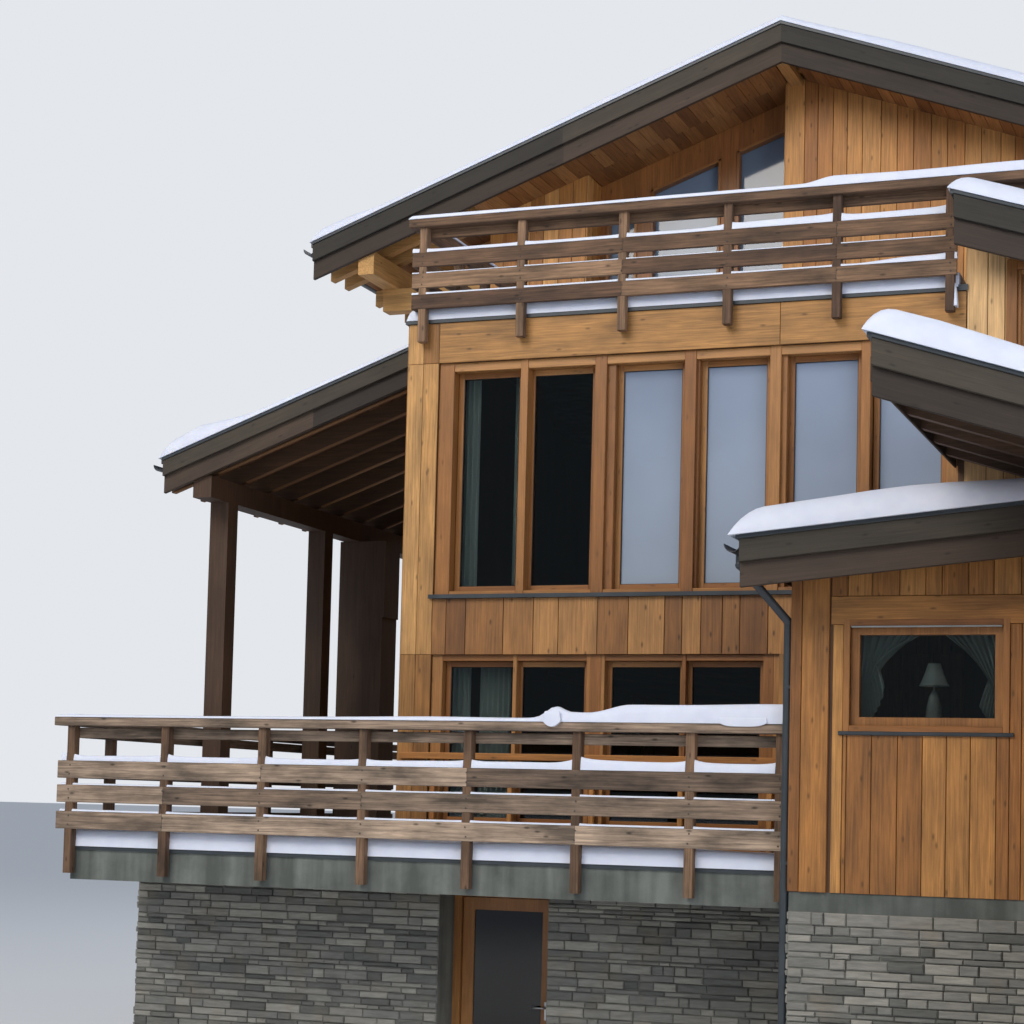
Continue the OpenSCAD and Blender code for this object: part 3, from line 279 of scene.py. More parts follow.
def plain_mineral(name, code, spot, patch, speck, rough, relief):
    """Cast or laid mineral: a cloudy mix of two greys at the patch size in metres, with runs 1.4 m long
    and 140 mm apart, and specks at the aggregate size."""
    paint, tree, _ = material(name, Roughness=rough)
    place = add(tree, "TexCoord", {}, take="Object")
    cloud = add(tree, "TexNoise", {"Vector": place, "Scale": 1 / patch, "Detail": 6.0, "Roughness": 0.6})
    grit = add(tree, "TexNoise", {"Vector": place, "Scale": 1 / speck, "Detail": 3.0})
    runs = add(tree, "VectorMath", {0: place, 1: (7.0, 7.0, 0.7)}, operation="MULTIPLY")
    streak = add(tree, "TexNoise", {"Vector": runs, "Scale": 1.0, "Detail": 4.0})
    cloudy = add(tree, "Math", {0: cloud, 1: streak}, operation="MULTIPLY")
    amount = add(tree, "MapRange", {0: cloudy, 1: 0.16, 2: 0.36, 3: 0.0, 4: 1.0})
    base = add(tree, "Mix", {0: amount, 6: linear(spot), 7: linear(code)}, take=2, data_type="RGBA")
    shade = add(tree, "MapRange", {0: grit, 1: 0.3, 2: 0.7, 3: 0.92, 4: 1.06})
    return finish(paint, base, shade, grit, 0.4, relief)


def paint_nodes(paint, *nodes):
    """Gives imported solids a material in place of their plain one."""
    for name in nodes:
        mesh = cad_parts[name].data
        mesh.materials.clear()
        mesh.materials.append(paint)


slate = split_slate("split grey slate")
mortar = plain_mineral("lime mortar", "#74756E", "#53524B", 0.5, 0.006, 0.95, 0.004)
# A wall's face is the axis that runs along it, its place on the other axis and its outward sign there.
front, annex_front, wing_front, house_rear = (0, 0.0, -1), (0, -1.5, -1), (0, -3.0, -1), (0, 11.6, 1)
house_left, house_right, annex_left, wing_right = (1, -0.45, -1), (1, 6.15, 1), (1, 3.96, -1), (1, 9.6, 1)
ground, slab_low, stone_proud = 0.0, 2.094, 0.026
stone_rng = np.random.default_rng(11)
for name, spans in {
    "front_stones": [(front, -2.62, 0.45), (front, 1.48, 3.96)],
    "house_stones": [((1, -2.62, -1), 0.0, 6.0), (house_left, 6.0, 11.6), (house_rear, -0.45, 6.15),
                     ((0, 6.0, 1), -2.62, -0.45), (house_right, 3.1, 11.6)],
    "side_base_stones": [(annex_left, -1.5, 0.0), (annex_front, 3.96, 6.0), ((1, 6.0, -1), -3.0, -1.5),
                         (wing_front, 6.0, 9.6), (wing_right, -3.0, 3.1), ((0, 3.1, 1), 6.15, 9.6)],
}.items():
    parts = []
    for face, s0, s1 in spans:
        stones = courses(s0, s1, ground, slab_low, stone_rng)
        proud = stone_rng.uniform(0.006, stone_proud, len(stones))
        parts.append(blocks(stones, face, -0.02, proud, 0.008, 0.0, stone_rng, 0.003))
    piece(name, gather(parts), slate)
paint_nodes(mortar, "basement_front_left", "basement_front_right", "basement_house_walls", "side_stone_base")

# Concrete slabs and floors
# Board-marked concrete cast in one pour with the balcony, in cloudy greys with upright runs; its damp, darker
# lower edge is not drawn.
cast = plain_mineral("cast concrete", "#6F746F", "#4C514D", 0.55, 0.004, 0.8, 0.003)
paint_nodes(cast, "balcony_slab", "main_floor", "terrace_deck", "basement_floor")

# Boards of the front block
# Planed larch boards under clear oil, nailed upright on battens with a narrow open joint.
# Boards differ in tone, and the wall behind the joints is painted dark as shade.
def larch(name, shades, along=None, rough=0.55, strength=1.0, knots=0.5, stains=1.0):
    """Oiled softwood: warm, satin, and lively in tone from board to board. Streaks are noise stretched to
    0.6 m along the grain and 20 mm across it, with finer 5 mm lines, knots are sparse cells 0.5 by 0.19 m,
    stains are cloudy patches 0.7 by 0.22 m, and the shades run from a dark board's to a light one's. The
    level is the product of all four. The grain is u of the piece's own UV map, or an axis of Object
    coordinates."""
    paint, tree, _ = material(name, Roughness=rough)
    place = add(tree, "TexCoord", {}, take="Object")
    if along is None:
        grain, order, cell_kind = add(tree, "UVMap", {}, uv_map="grain"), (0, 1, 1), "2D"
        tone = add(tree, "Attribute", {}, take="Fac", attribute_name="tone")
    else:
        grain, order, cell_kind = place, [int(k != along) for k in range(3)], "3D"
        tone = add(tree, "TexNoise", {"Vector": place, "Scale": 1.1, "Detail": 1.0})
    board = add(tree, "ValToRGB", {"Fac": tone}, stops=tuple(zip((0.0, 0.5, 1.0), shades)))
    level = 1.0
    for kind, long, short, look, settings, low, high, start, end in (
        ("TexNoise", 0.6, 0.02, {"Detail": 4.0, "Roughness": 0.6, "Distortion": 0.8}, {},
         0.3, 0.72, 1 + 0.16 * strength, 1 - 0.34 * strength),
        ("TexNoise", 0.25, 0.005, {"Detail": 2.0}, {}, 0.35, 0.7, 1.07, 0.84),
        ("TexVoronoi", 0.5, 0.19, {}, {"voronoi_dimensions": cell_kind}, 0.02, 0.07, 1 - knots, 1.0),
        ("TexNoise", 0.7, 0.22, {"Detail": 5.0, "Roughness": 0.6}, {},
         0.36, 0.66, 1 + 0.1 * stains, 1 - 0.2 * stains),
    ):
        each_way = tuple((1 / long, 1 / short)[k] for k in order)
        at = add(tree, "VectorMath", {0: grain, 1: each_way}, operation="MULTIPLY")
        pattern = add(tree, kind, {"Vector": at, "Scale": 1.0, **look}, **settings)
        part = add(tree, "MapRange", {0: pattern, 1: low, 2: high, 3: start, 4: end})
        level = add(tree, "Math", {0: level, 1: part}, operation="MULTIPLY")
    return finish(paint, board, level, level, 0.35)


def beams(items, chamfer, rng):
    """Points, quads, uv and tone of straight timbers with planed-off long edges. Each item is
    (x0, y0, z0, x1, y1, z1, axis) or with a rise added, and z gains rise times (x - x0), so that a
    board on a roof keeps upright ends. The section is an octagon: the rectangle less its corners."""
    data = np.array([tuple(item) + (0.0,) * (8 - len(item)) for item in items], float)
    count, rows = len(data), np.arange(len(data))
    low, high, axis = data[:, :3], data[:, 3:6], data[:, 6].astype(int)
    b, c = (axis + 1) % 3, (axis + 2) % 3
    cut = np.minimum(chamfer, np.minimum(high[rows, b] - low[rows, b], high[rows, c] - low[rows, c]) / 3)
    lb, hb, lc, hc = low[rows, b], high[rows, b], low[rows, c], high[rows, c]
    ring_b = np.stack([lb + cut, hb - cut, hb, hb, hb - cut, lb + cut, lb, lb], 1)
    ring_c = np.stack([lc, lc, lc + cut, hc - cut, hc, hc, hc - cut, lc + cut], 1)
    points = np.zeros((count, 2, 8, 3))
    for end, value in enumerate((low, high)):
        points[rows[:, None], end, np.arange(8), axis[:, None]] = value[rows, axis][:, None]
        points[rows[:, None], end, np.arange(8), b[:, None]] = ring_b
        points[rows[:, None], end, np.arange(8), c[:, None]] = ring_c
    points[..., 2] += data[:, 7, None, None] * (points[..., 0] - data[:, 0, None, None])
    caps = np.array([[8, 9, 10, 11], [8, 11, 12, 15], [12, 13, 14, 15]])
    faces = np.vstack([bands(8, 2), caps, (caps - 8)[:, ::-1]])
    turn = np.hypot(np.diff(ring_b, axis=1), np.diff(ring_c, axis=1))
    around = np.concatenate([np.zeros((count, 1)), np.cumsum(turn, 1)], 1)
    uv = np.zeros((count, 2, 8, 2))
    uv[:, 0, :, 0] = low[rows, axis][:, None]
    uv[:, 1, :, 0] = high[rows, axis][:, None]
    uv[..., 1] = around[:, None, :]
    uv += rng.uniform(0, 40, (count, 1, 1, 2))
    tone = np.repeat(rng.uniform(0, 1, count), 16)
    return points.reshape(-1, 3), copies(faces, 16, count), uv.reshape(-1, 2), tone


def upright_boards(joints, low, high, holes=(), joint=0.005):
    """Upright boards between joints along a wall. low and high are heights or functions of the
    place, and a board is split round each hole (s0, z0, s1, z1)."""
    at = [(lambda s, value=value: value) if not callable(value) else value for value in (low, high)]
    cuts = sorted({*[round(j, 4) for j in joints],
                   *[s for hole in holes for s in (hole[0], hole[2]) if joints[0] < s < joints[-1]]})
    quads = []
    for a, b in zip(cuts[:-1], cuts[1:]):
        if b - a < 0.012:
            continue
        middle = (a + b) / 2
        spans = [(None, None)]
        for s0, z0, s1, z1 in sorted(holes, key=lambda hole: hole[1]):
            if s0 < middle < s1:
                start, _ = spans.pop()
                spans += [(start, z0), (z1, None)]
        for z0, z1 in spans:
            ends = ((a + joint / 2, 0), (b - joint / 2, 0), (b - joint / 2, 1), (a + joint / 2, 1))
            corners = [[s, at[k](s) if (z0, z1)[k] is None else (z0, z1)[k]] for s, k in ends]
            if corners[2][1] - corners[1][1] > 0.02 and corners[3][1] - corners[0][1] > 0.02:
                quads.append(corners)
    return quads


def pitches(s0, s1, rng, least=0.13, most=0.2):
    """Joints between boards of uneven width from s0 to s1."""
    steps = np.cumsum(rng.uniform(least, most, int((s1 - s0) / least) + 1)) + s0
    return [s0, *steps[steps < s1 - 0.6 * least], s1]


def boards(quads, face, rng, grain=90.0, proud=0.012, edge=0.003):
    """Boards on a wall, 10 mm sunk behind its face so that no gap shows, and proud in front of it."""
    return blocks(quads, face, -0.01, proud, edge, grain, rng)


def trimmed(a, z0, b, z1):
    """A board's rectangle, 2 mm short at its sides and 1.5 mm at its ends."""
    return rectangle(a + 0.002, z0 + 0.0015, b - 0.002, z1 - 0.0015)


board_rng = np.random.default_rng(5)
honey = larch("clear-oiled larch", ("#90622F", "#AC7C43", "#C4955A"), strength=1.2, stains=1.6)
warm = larch("tinted-oil larch", ("#A0662F", "#BC8242", "#D09755"))
# the walls behind the boards, seen in the joints and the reveals, are painted dark as shade
behind = larch("shadowed sheathing", ("#4A3220", "#56391F", "#5E4024"), along=2, strength=0.6)
floor_z, french_head, sill_z, ribbon_head, deck_z = 2.244, 4.18, 4.70, 6.835, 7.235
corner_w, block_end, board_top = 0.303, 5.05, deck_z - 0.03
levels = (floor_z, french_head, ribbon_head, board_top)
facade = [trimmed(a, z0, b, z1) for a, b in ((0.0, corner_w / 2), (corner_w / 2, corner_w))
          for z0, z1 in zip(levels[:-1], levels[1:])]
facade += upright_boards([3.5, 3.68, 3.86, 4.05, 4.3, 4.55, 4.8, block_end], floor_z, french_head)
header = [trimmed(a, ribbon_head, b, board_top) for a, b in ((corner_w, 3.462), (3.462, block_end))]
facade_mesh = gather([boards(facade, front, board_rng), boards(header, front, board_rng, 0.0)])
facade_mesh[3][-16 * len(header):] = 0.45  # both header boards have one tone; a board has 16 points
piece("facade_boards", facade_mesh, honey)
band_joints = [corner_w, 0.438, 0.628, 0.99, 1.275, 1.51, 1.872, 2.155, 2.484, 2.641, 2.809, 2.999,
               3.153, 3.399, 3.62, 3.81, 3.96, 4.2, 4.42, 4.66, 4.87, block_end]
band = upright_boards(band_joints, french_head, sill_z - 0.015)
# the band's boards are a darker copy of the facade's larch
piece("band_boards", boards(band, front, board_rng),
      larch("browned band larch", ("#7A4F27", "#976736", "#B07F49"), knots=0.65, stains=1.4))
side_boards = upright_boards(pitches(0.0, 3.1, board_rng), floor_z, board_top)
piece("block_side_boards", boards(side_boards, (1, 0.0, -1), board_rng), honey)
paint_nodes(behind, "block_left_wall", "block_header", "block_band", "lower_front_wall")

# Ribbon window of the upper storey
# Six tall fixed sashes in oiled larch, set back behind square posts that carry the header.
# Each pane sits in a dark gasket, and a folded metal sill closes the foot.
# smooth and see-through, with a sharp mirror image: the dark inside shows between the reflections
clear_glass = material("clear float glass", Base_Color=linear("#B4BEC0"), Roughness=0.02, IOR=1.5,
                       Transmission_Weight=1.0)[0]


def painted_reflection_glass(name, top, foot, z0, z1):
    """Double glazing whose colour is a painted reflection of pale light: smooth, and the painted colour runs
    from foot to top by height.
    The painted reflection waves a little, by noise of 1.4 m."""
    paint, tree, _ = material(name, Roughness=0.06, IOR=1.5)
    place = add(tree, "TexCoord", {}, take="Object")
    height = add(tree, "SeparateXYZ", {0: place}, take=2)
    share = add(tree, "MapRange", {0: height, 1: z0, 2: z1, 3: 0.0, 4: 1.0})
    painted_reflection = add(tree, "Mix", {0: share, 6: linear(foot), 7: linear(top)}, take=2, data_type="RGBA")
    wave = add(tree, "TexNoise", {"Vector": place, "Scale": 0.7, "Detail": 3.0})
    return finish(paint, painted_reflection, add(tree, "MapRange", {0: wave, 1: 0.3, 2: 0.7, 3: 0.88, 4: 1.1}))


def frame_bars(panes, plane, outer, back, front_face):
    """Four bars round each pane (s0, z0, s1, z1): full-height stiles and rails between them. plane is
    (axis of s, wall place, outward sign) and outer the width of a bar."""
    axis, wall, sign = plane
    items = []
    y0, y1 = sorted((wall + sign * back, wall + sign * front_face))
    for s0, z0, s1, z1 in panes:
        for a0, c0, a1, c1, run in (
            (s0 - outer, z0 - outer, s0, z1 + outer, 2), (s1, z0 - outer, s1 + outer, z1 + outer, 2),
            (s0, z0 - outer, s1, z0, axis), (s0, z1, s1, z1 + outer, axis),
        ):
            items.append((a0, y0, c0, a1, y1, c1, run) if axis == 0 else (y0, a0, c0, y1, a1, c1, run))
    return items


def sheets(panes, plane, depth, thick):
    """Panes of glass as thin blocks at a depth in front of the wall's place (negative is behind)."""
    return blocks([rectangle(*pane) for pane in panes], plane, depth, depth + thick, 0.001)


oiled_shades = ("#86552A", "#9B6836", "#AF7D48")
oiled = larch("oiled frame larch", oiled_shades, rough=0.42, strength=0.7, knots=0.3)
# black rubber, matt in cloudy patches of 17 mm: a thin dark line round each pane
gasket, tree, shader = material("black glazing gasket", Base_Color=linear("#1B1714"))
rubber = add(tree, "TexNoise", {"Vector": add(tree, "TexCoord", {}, take="Object"), "Scale": 60.0})
feed(shader, {"Roughness": add(tree, "MapRange", {0: rubber, 3: 0.45, 4: 0.7})})
window_rng = np.random.default_rng(8)


def joinery(name, items, chamfer=0.004, paint=oiled):
    """One piece of window timber."""
    return piece(name, beams(items, chamfer, window_rng), paint)


def gaskets(name, panes, back, front_face):
    """A black lip on each pane, 4 mm of it inside the sash and 4 mm on the glass."""
    lips = [(a + 0.004, z0 + 0.004, b - 0.004, z1 - 0.004) for a, z0, b, z1 in panes]
    joinery(name, frame_bars(lips, front, 0.008, back, front_face), 0.001, gasket)


ribbon_panes = [(a, 4.807, b, 6.704) for a, b in (
    (0.500, 1.040), (1.188, 1.735), (2.024, 2.560), (2.789, 3.320), (3.566, 4.110), (4.300, 4.820))]
items = frame_bars(ribbon_panes, front, 0.052, -0.19, -0.135)
posts = ((0.303, 0.445), (1.087, 1.159), (1.790, 1.900), (2.612, 2.717), (3.372, 3.470),
         (4.160, 4.240), (4.88, 4.98))
jamb_fillers = ((1.895, 1.975), (2.712, 2.740), (3.465, 3.517))
for y, spans in ((0.02, posts), (0.06, jamb_fillers)):
    items += [(a, y, sill_z, b, 0.20, ribbon_head, 2) for a, b in spans]
items += [(0.303, 0.03, z0, 4.98, 0.21, z1, 0)
          for z0, z1 in ((sill_z, sill_z + 0.055), (ribbon_head - 0.079, ribbon_head))]
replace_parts(joinery("ribbon_posts_and_sashes", items), "ribbon_frame")
gaskets("ribbon_gaskets", ribbon_panes, -0.185, -0.142)
# from the third sash on, the panes' colour is a painted reflection of pale light
coated = painted_reflection_glass("coated double glazing", "#8592A8", "#98A4B4", 4.8, 6.7)
piece("ribbon_clear_panes", sheets(ribbon_panes[:2], front, -0.172, 0.012), clear_glass)
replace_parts(piece("ribbon_sky_panes", sheets(ribbon_panes[2:], front, -0.172, 0.012), coated),
            "ribbon_glass")

# French windows of the lower storey
# Two pairs of glazed leaves in the same oiled larch, behind a low guard rail on brackets.
# A wide middle post and plain jambs carry the boarded band above.
french_panes = [(a, 2.73, b, 4.076)
                for a, b in ((0.458, 1.053), (1.149, 1.729), (1.984, 2.604), (2.712, 3.313))]
items = frame_bars(french_panes, front, 0.048, -0.15, -0.10)
posts = ((0.303, 0.405), (1.083, 1.119), (1.805, 1.912), (2.640, 2.676), (3.446, 3.5))
jamb_fillers = ((1.772, 1.81), (1.907, 1.94), (3.356, 3.45))
items += [(a, 0.02, floor_z + 0.05, b, 0.17, french_head, 2) for a, b in posts + jamb_fillers]
items += [(0.303, 0.03, z0, 3.5, 0.17, z1, 0)
          for z0, z1 in ((french_head - 0.055, french_head), (floor_z, 2.69))]
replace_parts(joinery("french_leaves", items), "french_frame")
gaskets("french_gaskets", french_panes, -0.145, -0.107)
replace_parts(piece("french_panes", sheets(french_panes, front, -0.135, 0.012), clear_glass),
            "french_glass")
items = [(0.04, -0.06, 3.24, 3.5, 0.0, 3.30, 0)]
items += [(x, -0.045, 2.387, x + 0.045, -0.005, 3.24, 2) for x in (0.34, 1.08, 1.84, 2.64, 3.42)]
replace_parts(piece("french_guard_rail", beams(items, 0.006, window_rng), warm), "guard_rail")

# Basement door
# A half-glazed leaf in oiled larch in a deep stone reveal. It turns inwards on two steel hinges.
# The lever is bent from one steel rod and turns in a short plate.
def rod(path, radius, sides=12):
    """Points and quads of a round rod along a path: at each point a circle stands square to the
    path's direction, and fans of quads close its two ends."""
    path = np.asarray(path, float)
    along = np.gradient(path, axis=0)
    along /= np.linalg.norm(along, axis=1, keepdims=True)
    aside = np.cross(along, (0.31, 0.17, 0.93))
    aside /= np.linalg.norm(aside, axis=1, keepdims=True)
    up = np.cross(along, aside)
    angle = np.arange(sides) * 2 * np.pi / sides
    circle = aside[:, None] * np.cos(angle)[:, None] + up[:, None] * np.sin(angle)[:, None]
    cap = np.array([[0, 2 * j + 1, 2 * j + 2, 2 * j + 3] for j in range(sides // 2 - 1)])
    faces = np.vstack([bands(sides, len(path)), cap[:, ::-1], cap + sides * (len(path) - 1)])
    return (path[:, None] + radius * circle).reshape(-1, 3), faces


door_larch = larch("oiled door larch", oiled_shades, along=2, rough=0.42, strength=0.7)
paint_nodes(door_larch, "door_frame", "door_leaf")
# glass darkened as painted shade of the dark room behind it: nearly black from outside, with a sharp mirror
# image
paint_nodes(material("grey tinted float glass", Base_Color=linear("#2C3033"), Roughness=0.02, IOR=1.5,
                     Transmission_Weight=1.0)[0], "door_glass")
# brushed steel shines softly in streaks; real marks are too fine to show, so they are drawn 1 mm apart
brushed, tree, shader = material("brushed stainless steel", Base_Color=linear("#B9BABB"), Metallic=1.0)
place = add(tree, "TexCoord", {}, take="Object")
lines = add(tree, "VectorMath", {0: place, 1: (30.0, 900.0, 900.0)}, operation="MULTIPLY")
brushing = add(tree, "TexNoise", {"Vector": lines})
feed(shader, {"Roughness": add(tree, "MapRange", {0: brushing, 3: 0.22, 4: 0.42})})
lever_x, lever_z, leaf_face, bend_r = 1.345, 1.05, 0.385, 0.018
bend = [(lever_x - bend_r * (1 - math.cos(a)), leaf_face - 0.038 - bend_r * math.sin(a), lever_z)
        for a in np.linspace(0, np.pi / 2, 6)]
lever = [(lever_x, leaf_face - 0.004, lever_z), (lever_x, leaf_face - 0.02, lever_z), *bend,
         (lever_x - 0.07, leaf_face - 0.056, lever_z), (lever_x - 0.125, leaf_face - 0.054, lever_z)]
piece("door_lever", rod(lever, 0.009), brushed, body="door", smooth=True)
plate = (lever_x - 0.02, leaf_face - 0.008, lever_z - 0.11,
         lever_x + 0.02, leaf_face + 0.001, lever_z + 0.05, 2)
piece("door_plate", beams([plate], 0.003, window_rng), brushed, body="door")

# Cladding of the main house
# Upright larch boards with a tinted oil, in uneven widths, run from the slabs up to the rafters.
# Windows are cut between them, and the gable's boards end below the rafters.
ridge_x, ridge_z, rise = 2.85, 10.594, 0.366
# top of a gable wall: the ridge less the rise times the distance from it, less deck and rafter
wall_top = lambda s: ridge_z - rise * abs(s - ridge_x) - 0.30
window_w, window_h = 1.1, 1.15


def two_rows(*places):
    """Windows (s0, z0, s1, z1) of the main and the upper storey at some places along a wall."""
    return [(s, z, s + window_w, z + window_h) for s in places for z in (3.144, 5.05)]


house_windows = {house_left: two_rows(7.6, 9.6), house_right: two_rows(4.7, 8.3),
                 house_rear: two_rows(0.55, 4.05) + [(2.15, 7.935, 3.55, 7.935 + window_h)]}
house_rng = np.random.default_rng(21)


def clad(name, walls_of, paint, rng):
    """One piece of upright boards on several walls, each (plane, joints, low, high, holes)."""
    parts = [boards(upright_boards(*wall), plane, rng) for plane, *wall in walls_of]
    return piece(name, gather(parts), paint)


house_front = (0, 3.1, -1)
gable_joints = [2.74, 2.938, 3.073, 3.229, 3.373, 3.527, 3.714, 3.877, 4.04, 4.213, 4.373, 4.544,
                4.703, 4.892, 5.028, 5.2, 5.37, 5.52, 5.68, 5.84, 6.0, 6.15]
clad("gable_boards", [
    (house_front, [-0.45, -0.3, -0.14, 0.0], 2.387, wall_top),
    (house_front, [0.0, 0.15, 0.32, 0.47, 0.62], deck_z, wall_top),
    (house_front, gable_joints, deck_z, wall_top),
    ((1, 0.62, 1), [3.1, 3.27, 3.42, 3.55], deck_z, wall_top(0.62)),
    ((1, 2.74, -1), [3.1, 3.26, 3.4, 3.55], deck_z, wall_top(2.74)),
], warm, house_rng)
clad("house_side_boards", [
    (plane, pitches(*ends, house_rng), floor_z, top, house_windows[plane]) for plane, ends, top in (
        (house_left, (3.1, 11.6), wall_top(-0.45)), (house_right, (3.1, 11.6), wall_top(6.15)),
        (house_rear, (-0.45, 6.15), wall_top))
], warm, house_rng)
paint_nodes(behind, "gable_left_panel", "gable_right_panel", "house_left_wall", "house_right_wall",
            "house_rear_wall")
paint_nodes(larch("oiled interior boards", ("#8F6334", "#A87A45", "#BC9058"), along=1), "upper_floor")

# Gable glazing
# Fixed panes follow the roof's slope in the recess behind the roof terrace.
# Two square posts and the edge bars carry them, all in the same oiled larch.
paint_nodes(larch("oiled glazing larch", ("#7E4A22", "#96602F", "#AA7440"), along=2, rough=0.45),
            "gable_glazing_frame")
# the gable panes' colour is a painted reflection
paint_nodes(painted_reflection_glass("coated gable glazing", "#6E8096", "#7C8C9E", 7.3, 9.8), "gable_glass")
# the glazing ends 0.30 m below the wall's top
glazing_top = lambda s: wall_top(s) - 0.30
bars, low, bead = [], deck_z + 0.2, 0.03
for a, b in ((0.70, 1.04), (1.19, 1.95), (2.12, 2.66)):
    bars += [(a, 3.53, low, a + bead, 3.63, glazing_top(a), 2),
             (b - bead, 3.53, low, b, 3.63, glazing_top(b), 2),
             (a, 3.53, low, b, 3.63, deck_z + 0.23, 0),
             (a, 3.53, glazing_top(a) - bead, b, 3.63, glazing_top(a), 0, rise)]
joinery("gable_glazing_beads", bars, 0.003)

# Plain windows
# Two-leaf windows in the side walls, each in a plain casing with a sloping sill board.
# They are double glazing whose colour is a painted reflection; the annex has one clear pane.
right_window, wing_window = (5.45, 6.35, 6.27, 7.35), (7.7, 3.094, 8.8, 4.094)
wing_side_windows = [(s, 3.094, s + window_w, 4.094) for s in (-1.6, 0.9)]
plain = [(plane, window) for plane, windows in (*house_windows.items(), (front, [right_window]),
                                                (wing_front, [wing_window]), (wing_right, wing_side_windows))
         for window in windows]
casings, panes = [], []
for plane, (s0, z0, s1, z1) in plain:
    light = (s0 + 0.03, z0 + 0.03, s1 - 0.03, z1 - 0.03)
    casings += frame_bars([(s0, z0, s1, z1)], plane, 0.085, -0.005, 0.03)
    casings += frame_bars([light], plane, 0.03, -0.12, 0.005)
    axis, wall, sign = plane
    y0, y1 = sorted((wall - sign * 0.02, wall + sign * 0.06))
    casings.append((s0 - 0.1, y0, z0 - 0.04, s1 + 0.1, y1, z0, 0) if axis == 0 else
                   (y0, s0 - 0.1, z0 - 0.04, y1, s1 + 0.1, z0, 1))
    panes.append(sheets([light], plane, -0.085, 0.01))
joinery("window_casings", casings)
# the side windows' panes get a painted reflection as their colour
side_painted_reflection = painted_reflection_glass("coated side glazing", "#66737F", "#7C8894", 3.0, 7.5)
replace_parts(piece("side_panes", gather(panes), side_painted_reflection), "plain_window_glass")
paint_nodes(larch("oiled casement larch", oiled_shades, along=2, rough=0.42), "plain_window_frames")

# Annex
# A boarded box with a wide corner board and a level band over its single window.
# The window has a stepped casing with a pale drip strip on top and a dark sill.
# annex_z is the roof's upper face, and the boards end below its 135 mm
annex_z = lambda x: 4.92 + 0.095 * (x - 3.66)
annex_top = lambda s: annex_z(s) - 0.135
annex_rng = np.random.default_rng(33)
below_band = [4.276, 4.392, 4.583, 4.78, 4.968, 5.147, 5.325, 5.515, 5.697, 5.86, 6.0]
above_band = [4.262, 4.388, 4.572, 4.783, 4.979, 5.101, 5.3, 5.487, 5.687, 5.85, 6.0]
side_joints = [-1.5, -1.36, -1.18, -1.02, -0.84, -0.66, -0.5, -0.33, -0.16, 0.0]
annex_parts = [
    boards(upright_boards(below_band, floor_z, 4.29, [(4.36, 3.47, 5.61, 4.33)]), annex_front, annex_rng),
    boards(upright_boards(above_band, 4.51, annex_top), annex_front, annex_rng),
    boards([rectangle(4.262, 4.293, 6.0, 4.507)], annex_front, annex_rng, 0.0, 0.02),
    *[boards([[[a, floor_z], [b, floor_z], [b, annex_top(b)], [a, annex_top(a)]]], annex_front, annex_rng,
             proud=proud, edge=0.004) for a, b, proud in ((4.04, 4.249, 0.026), (3.948, 4.034, 0.014))],
    boards(upright_boards(side_joints, floor_z, annex_top(3.96)), annex_left, annex_rng),
]
piece("annex_boards", gather(annex_parts),
      larch("annex larch", ("#8C5A2A", "#A87237", "#C08A4A"), strength=1.2, stains=1.5))
paint_nodes(behind, "annex_walls")
joinery("annex_window_frame", frame_bars([(4.41, 3.52, 5.56, 4.28)], annex_front, 0.05, -0.03, 0.022)
        + frame_bars([(4.455, 3.565, 5.515, 4.235)], annex_front, 0.045, -0.11, -0.05))
piece("annex_pane", sheets([(4.45, 3.56, 5.52, 4.24)], annex_front, -0.09, 0.01), clear_glass)


def coated_sheet(name, code, rough=0.4):
    """Coil-coated sheet: an even dark grey with a faint cloudy film and a satin gloss."""
    paint, tree, shader = material(name)
    place = add(tree, "TexCoord", {}, take="Object")
    film = add(tree, "TexNoise", {"Vector": place, "Scale": 5.0, "Detail": 4.0})
    feed(shader, {"Roughness": add(tree, "MapRange", {0: film, 3: rough - 0.08, 4: rough + 0.12})})
    return finish(paint, linear(code)[:3], add(tree, "MapRange", {0: film, 1: 0.3, 2: 0.7, 3: 0.85, 4: 1.15}))


slate_metal = coated_sheet("slate grey coil-coated steel", "#353C42")
pale_metal = coated_sheet("weathered aluminium strip", "#9AA0A2", 0.5)
for name, beam, chamfer, paint in (
    ("annex_sill", (4.33, -1.535, 3.445, 5.64, -1.46, 3.475, 0), 0.006, slate_metal),
    ("annex_drip_strip", (4.42, -1.53, 4.268, 5.55, -1.5, 4.28, 0), 0.003, pale_metal),
):
    piece(name, beams([beam], chamfer, window_rng), paint)

# Cladding of the right block and the wing
# The same boards: a paler larch on the right block, lightened as painted sunlight, and tinted on the wing.
# They run up to the undersides of the two side roofs.
# each roof's upper face falls evenly to the right, and the walls end below the roof's thickness
right_z = lambda x: 7.94 - 0.32 * (x - 4.98)
wing_z = lambda x: 6.021 - 0.322 * (x - 4.97)
right_top = lambda s: right_z(s) - 0.135
wing_top = lambda s: wing_z(s) - 0.285
side_rng = np.random.default_rng(44)
# the right block's larch is a paler copy of the boards: painted sunlight
clad("right_block_boards", [
    (front, [5.03, 5.21, 5.35, 5.45, *pitches(5.6, 7.34, side_rng)], 4.95, right_top, [right_window]),
    ((1, 7.34, 1), pitches(0.0, 3.1, side_rng), 5.2, right_top(7.34)),
    ((1, block_end, -1), pitches(0.0, 3.1, side_rng), deck_z, right_top(block_end)),
    ((0, 3.1, 1), pitches(6.16, 7.34, side_rng), floor_z, right_top),
], larch("sunlit pale larch", ("#B08450", "#CB9F68", "#DDB47E")), side_rng)
clad("wing_boards", [
    (wing_front, pitches(6.0, 9.6, side_rng), floor_z, wing_top, [wing_window]),
    (wing_right, pitches(-3.0, 3.1, side_rng), floor_z, wing_top(9.6), wing_side_windows),
    ((1, 6.0, -1), pitches(-3.0, -1.5, side_rng), floor_z, wing_top(6.0)),
    ((0, 3.1, 1), pitches(7.34, 9.6, side_rng), floor_z, wing_top),
], warm, side_rng)
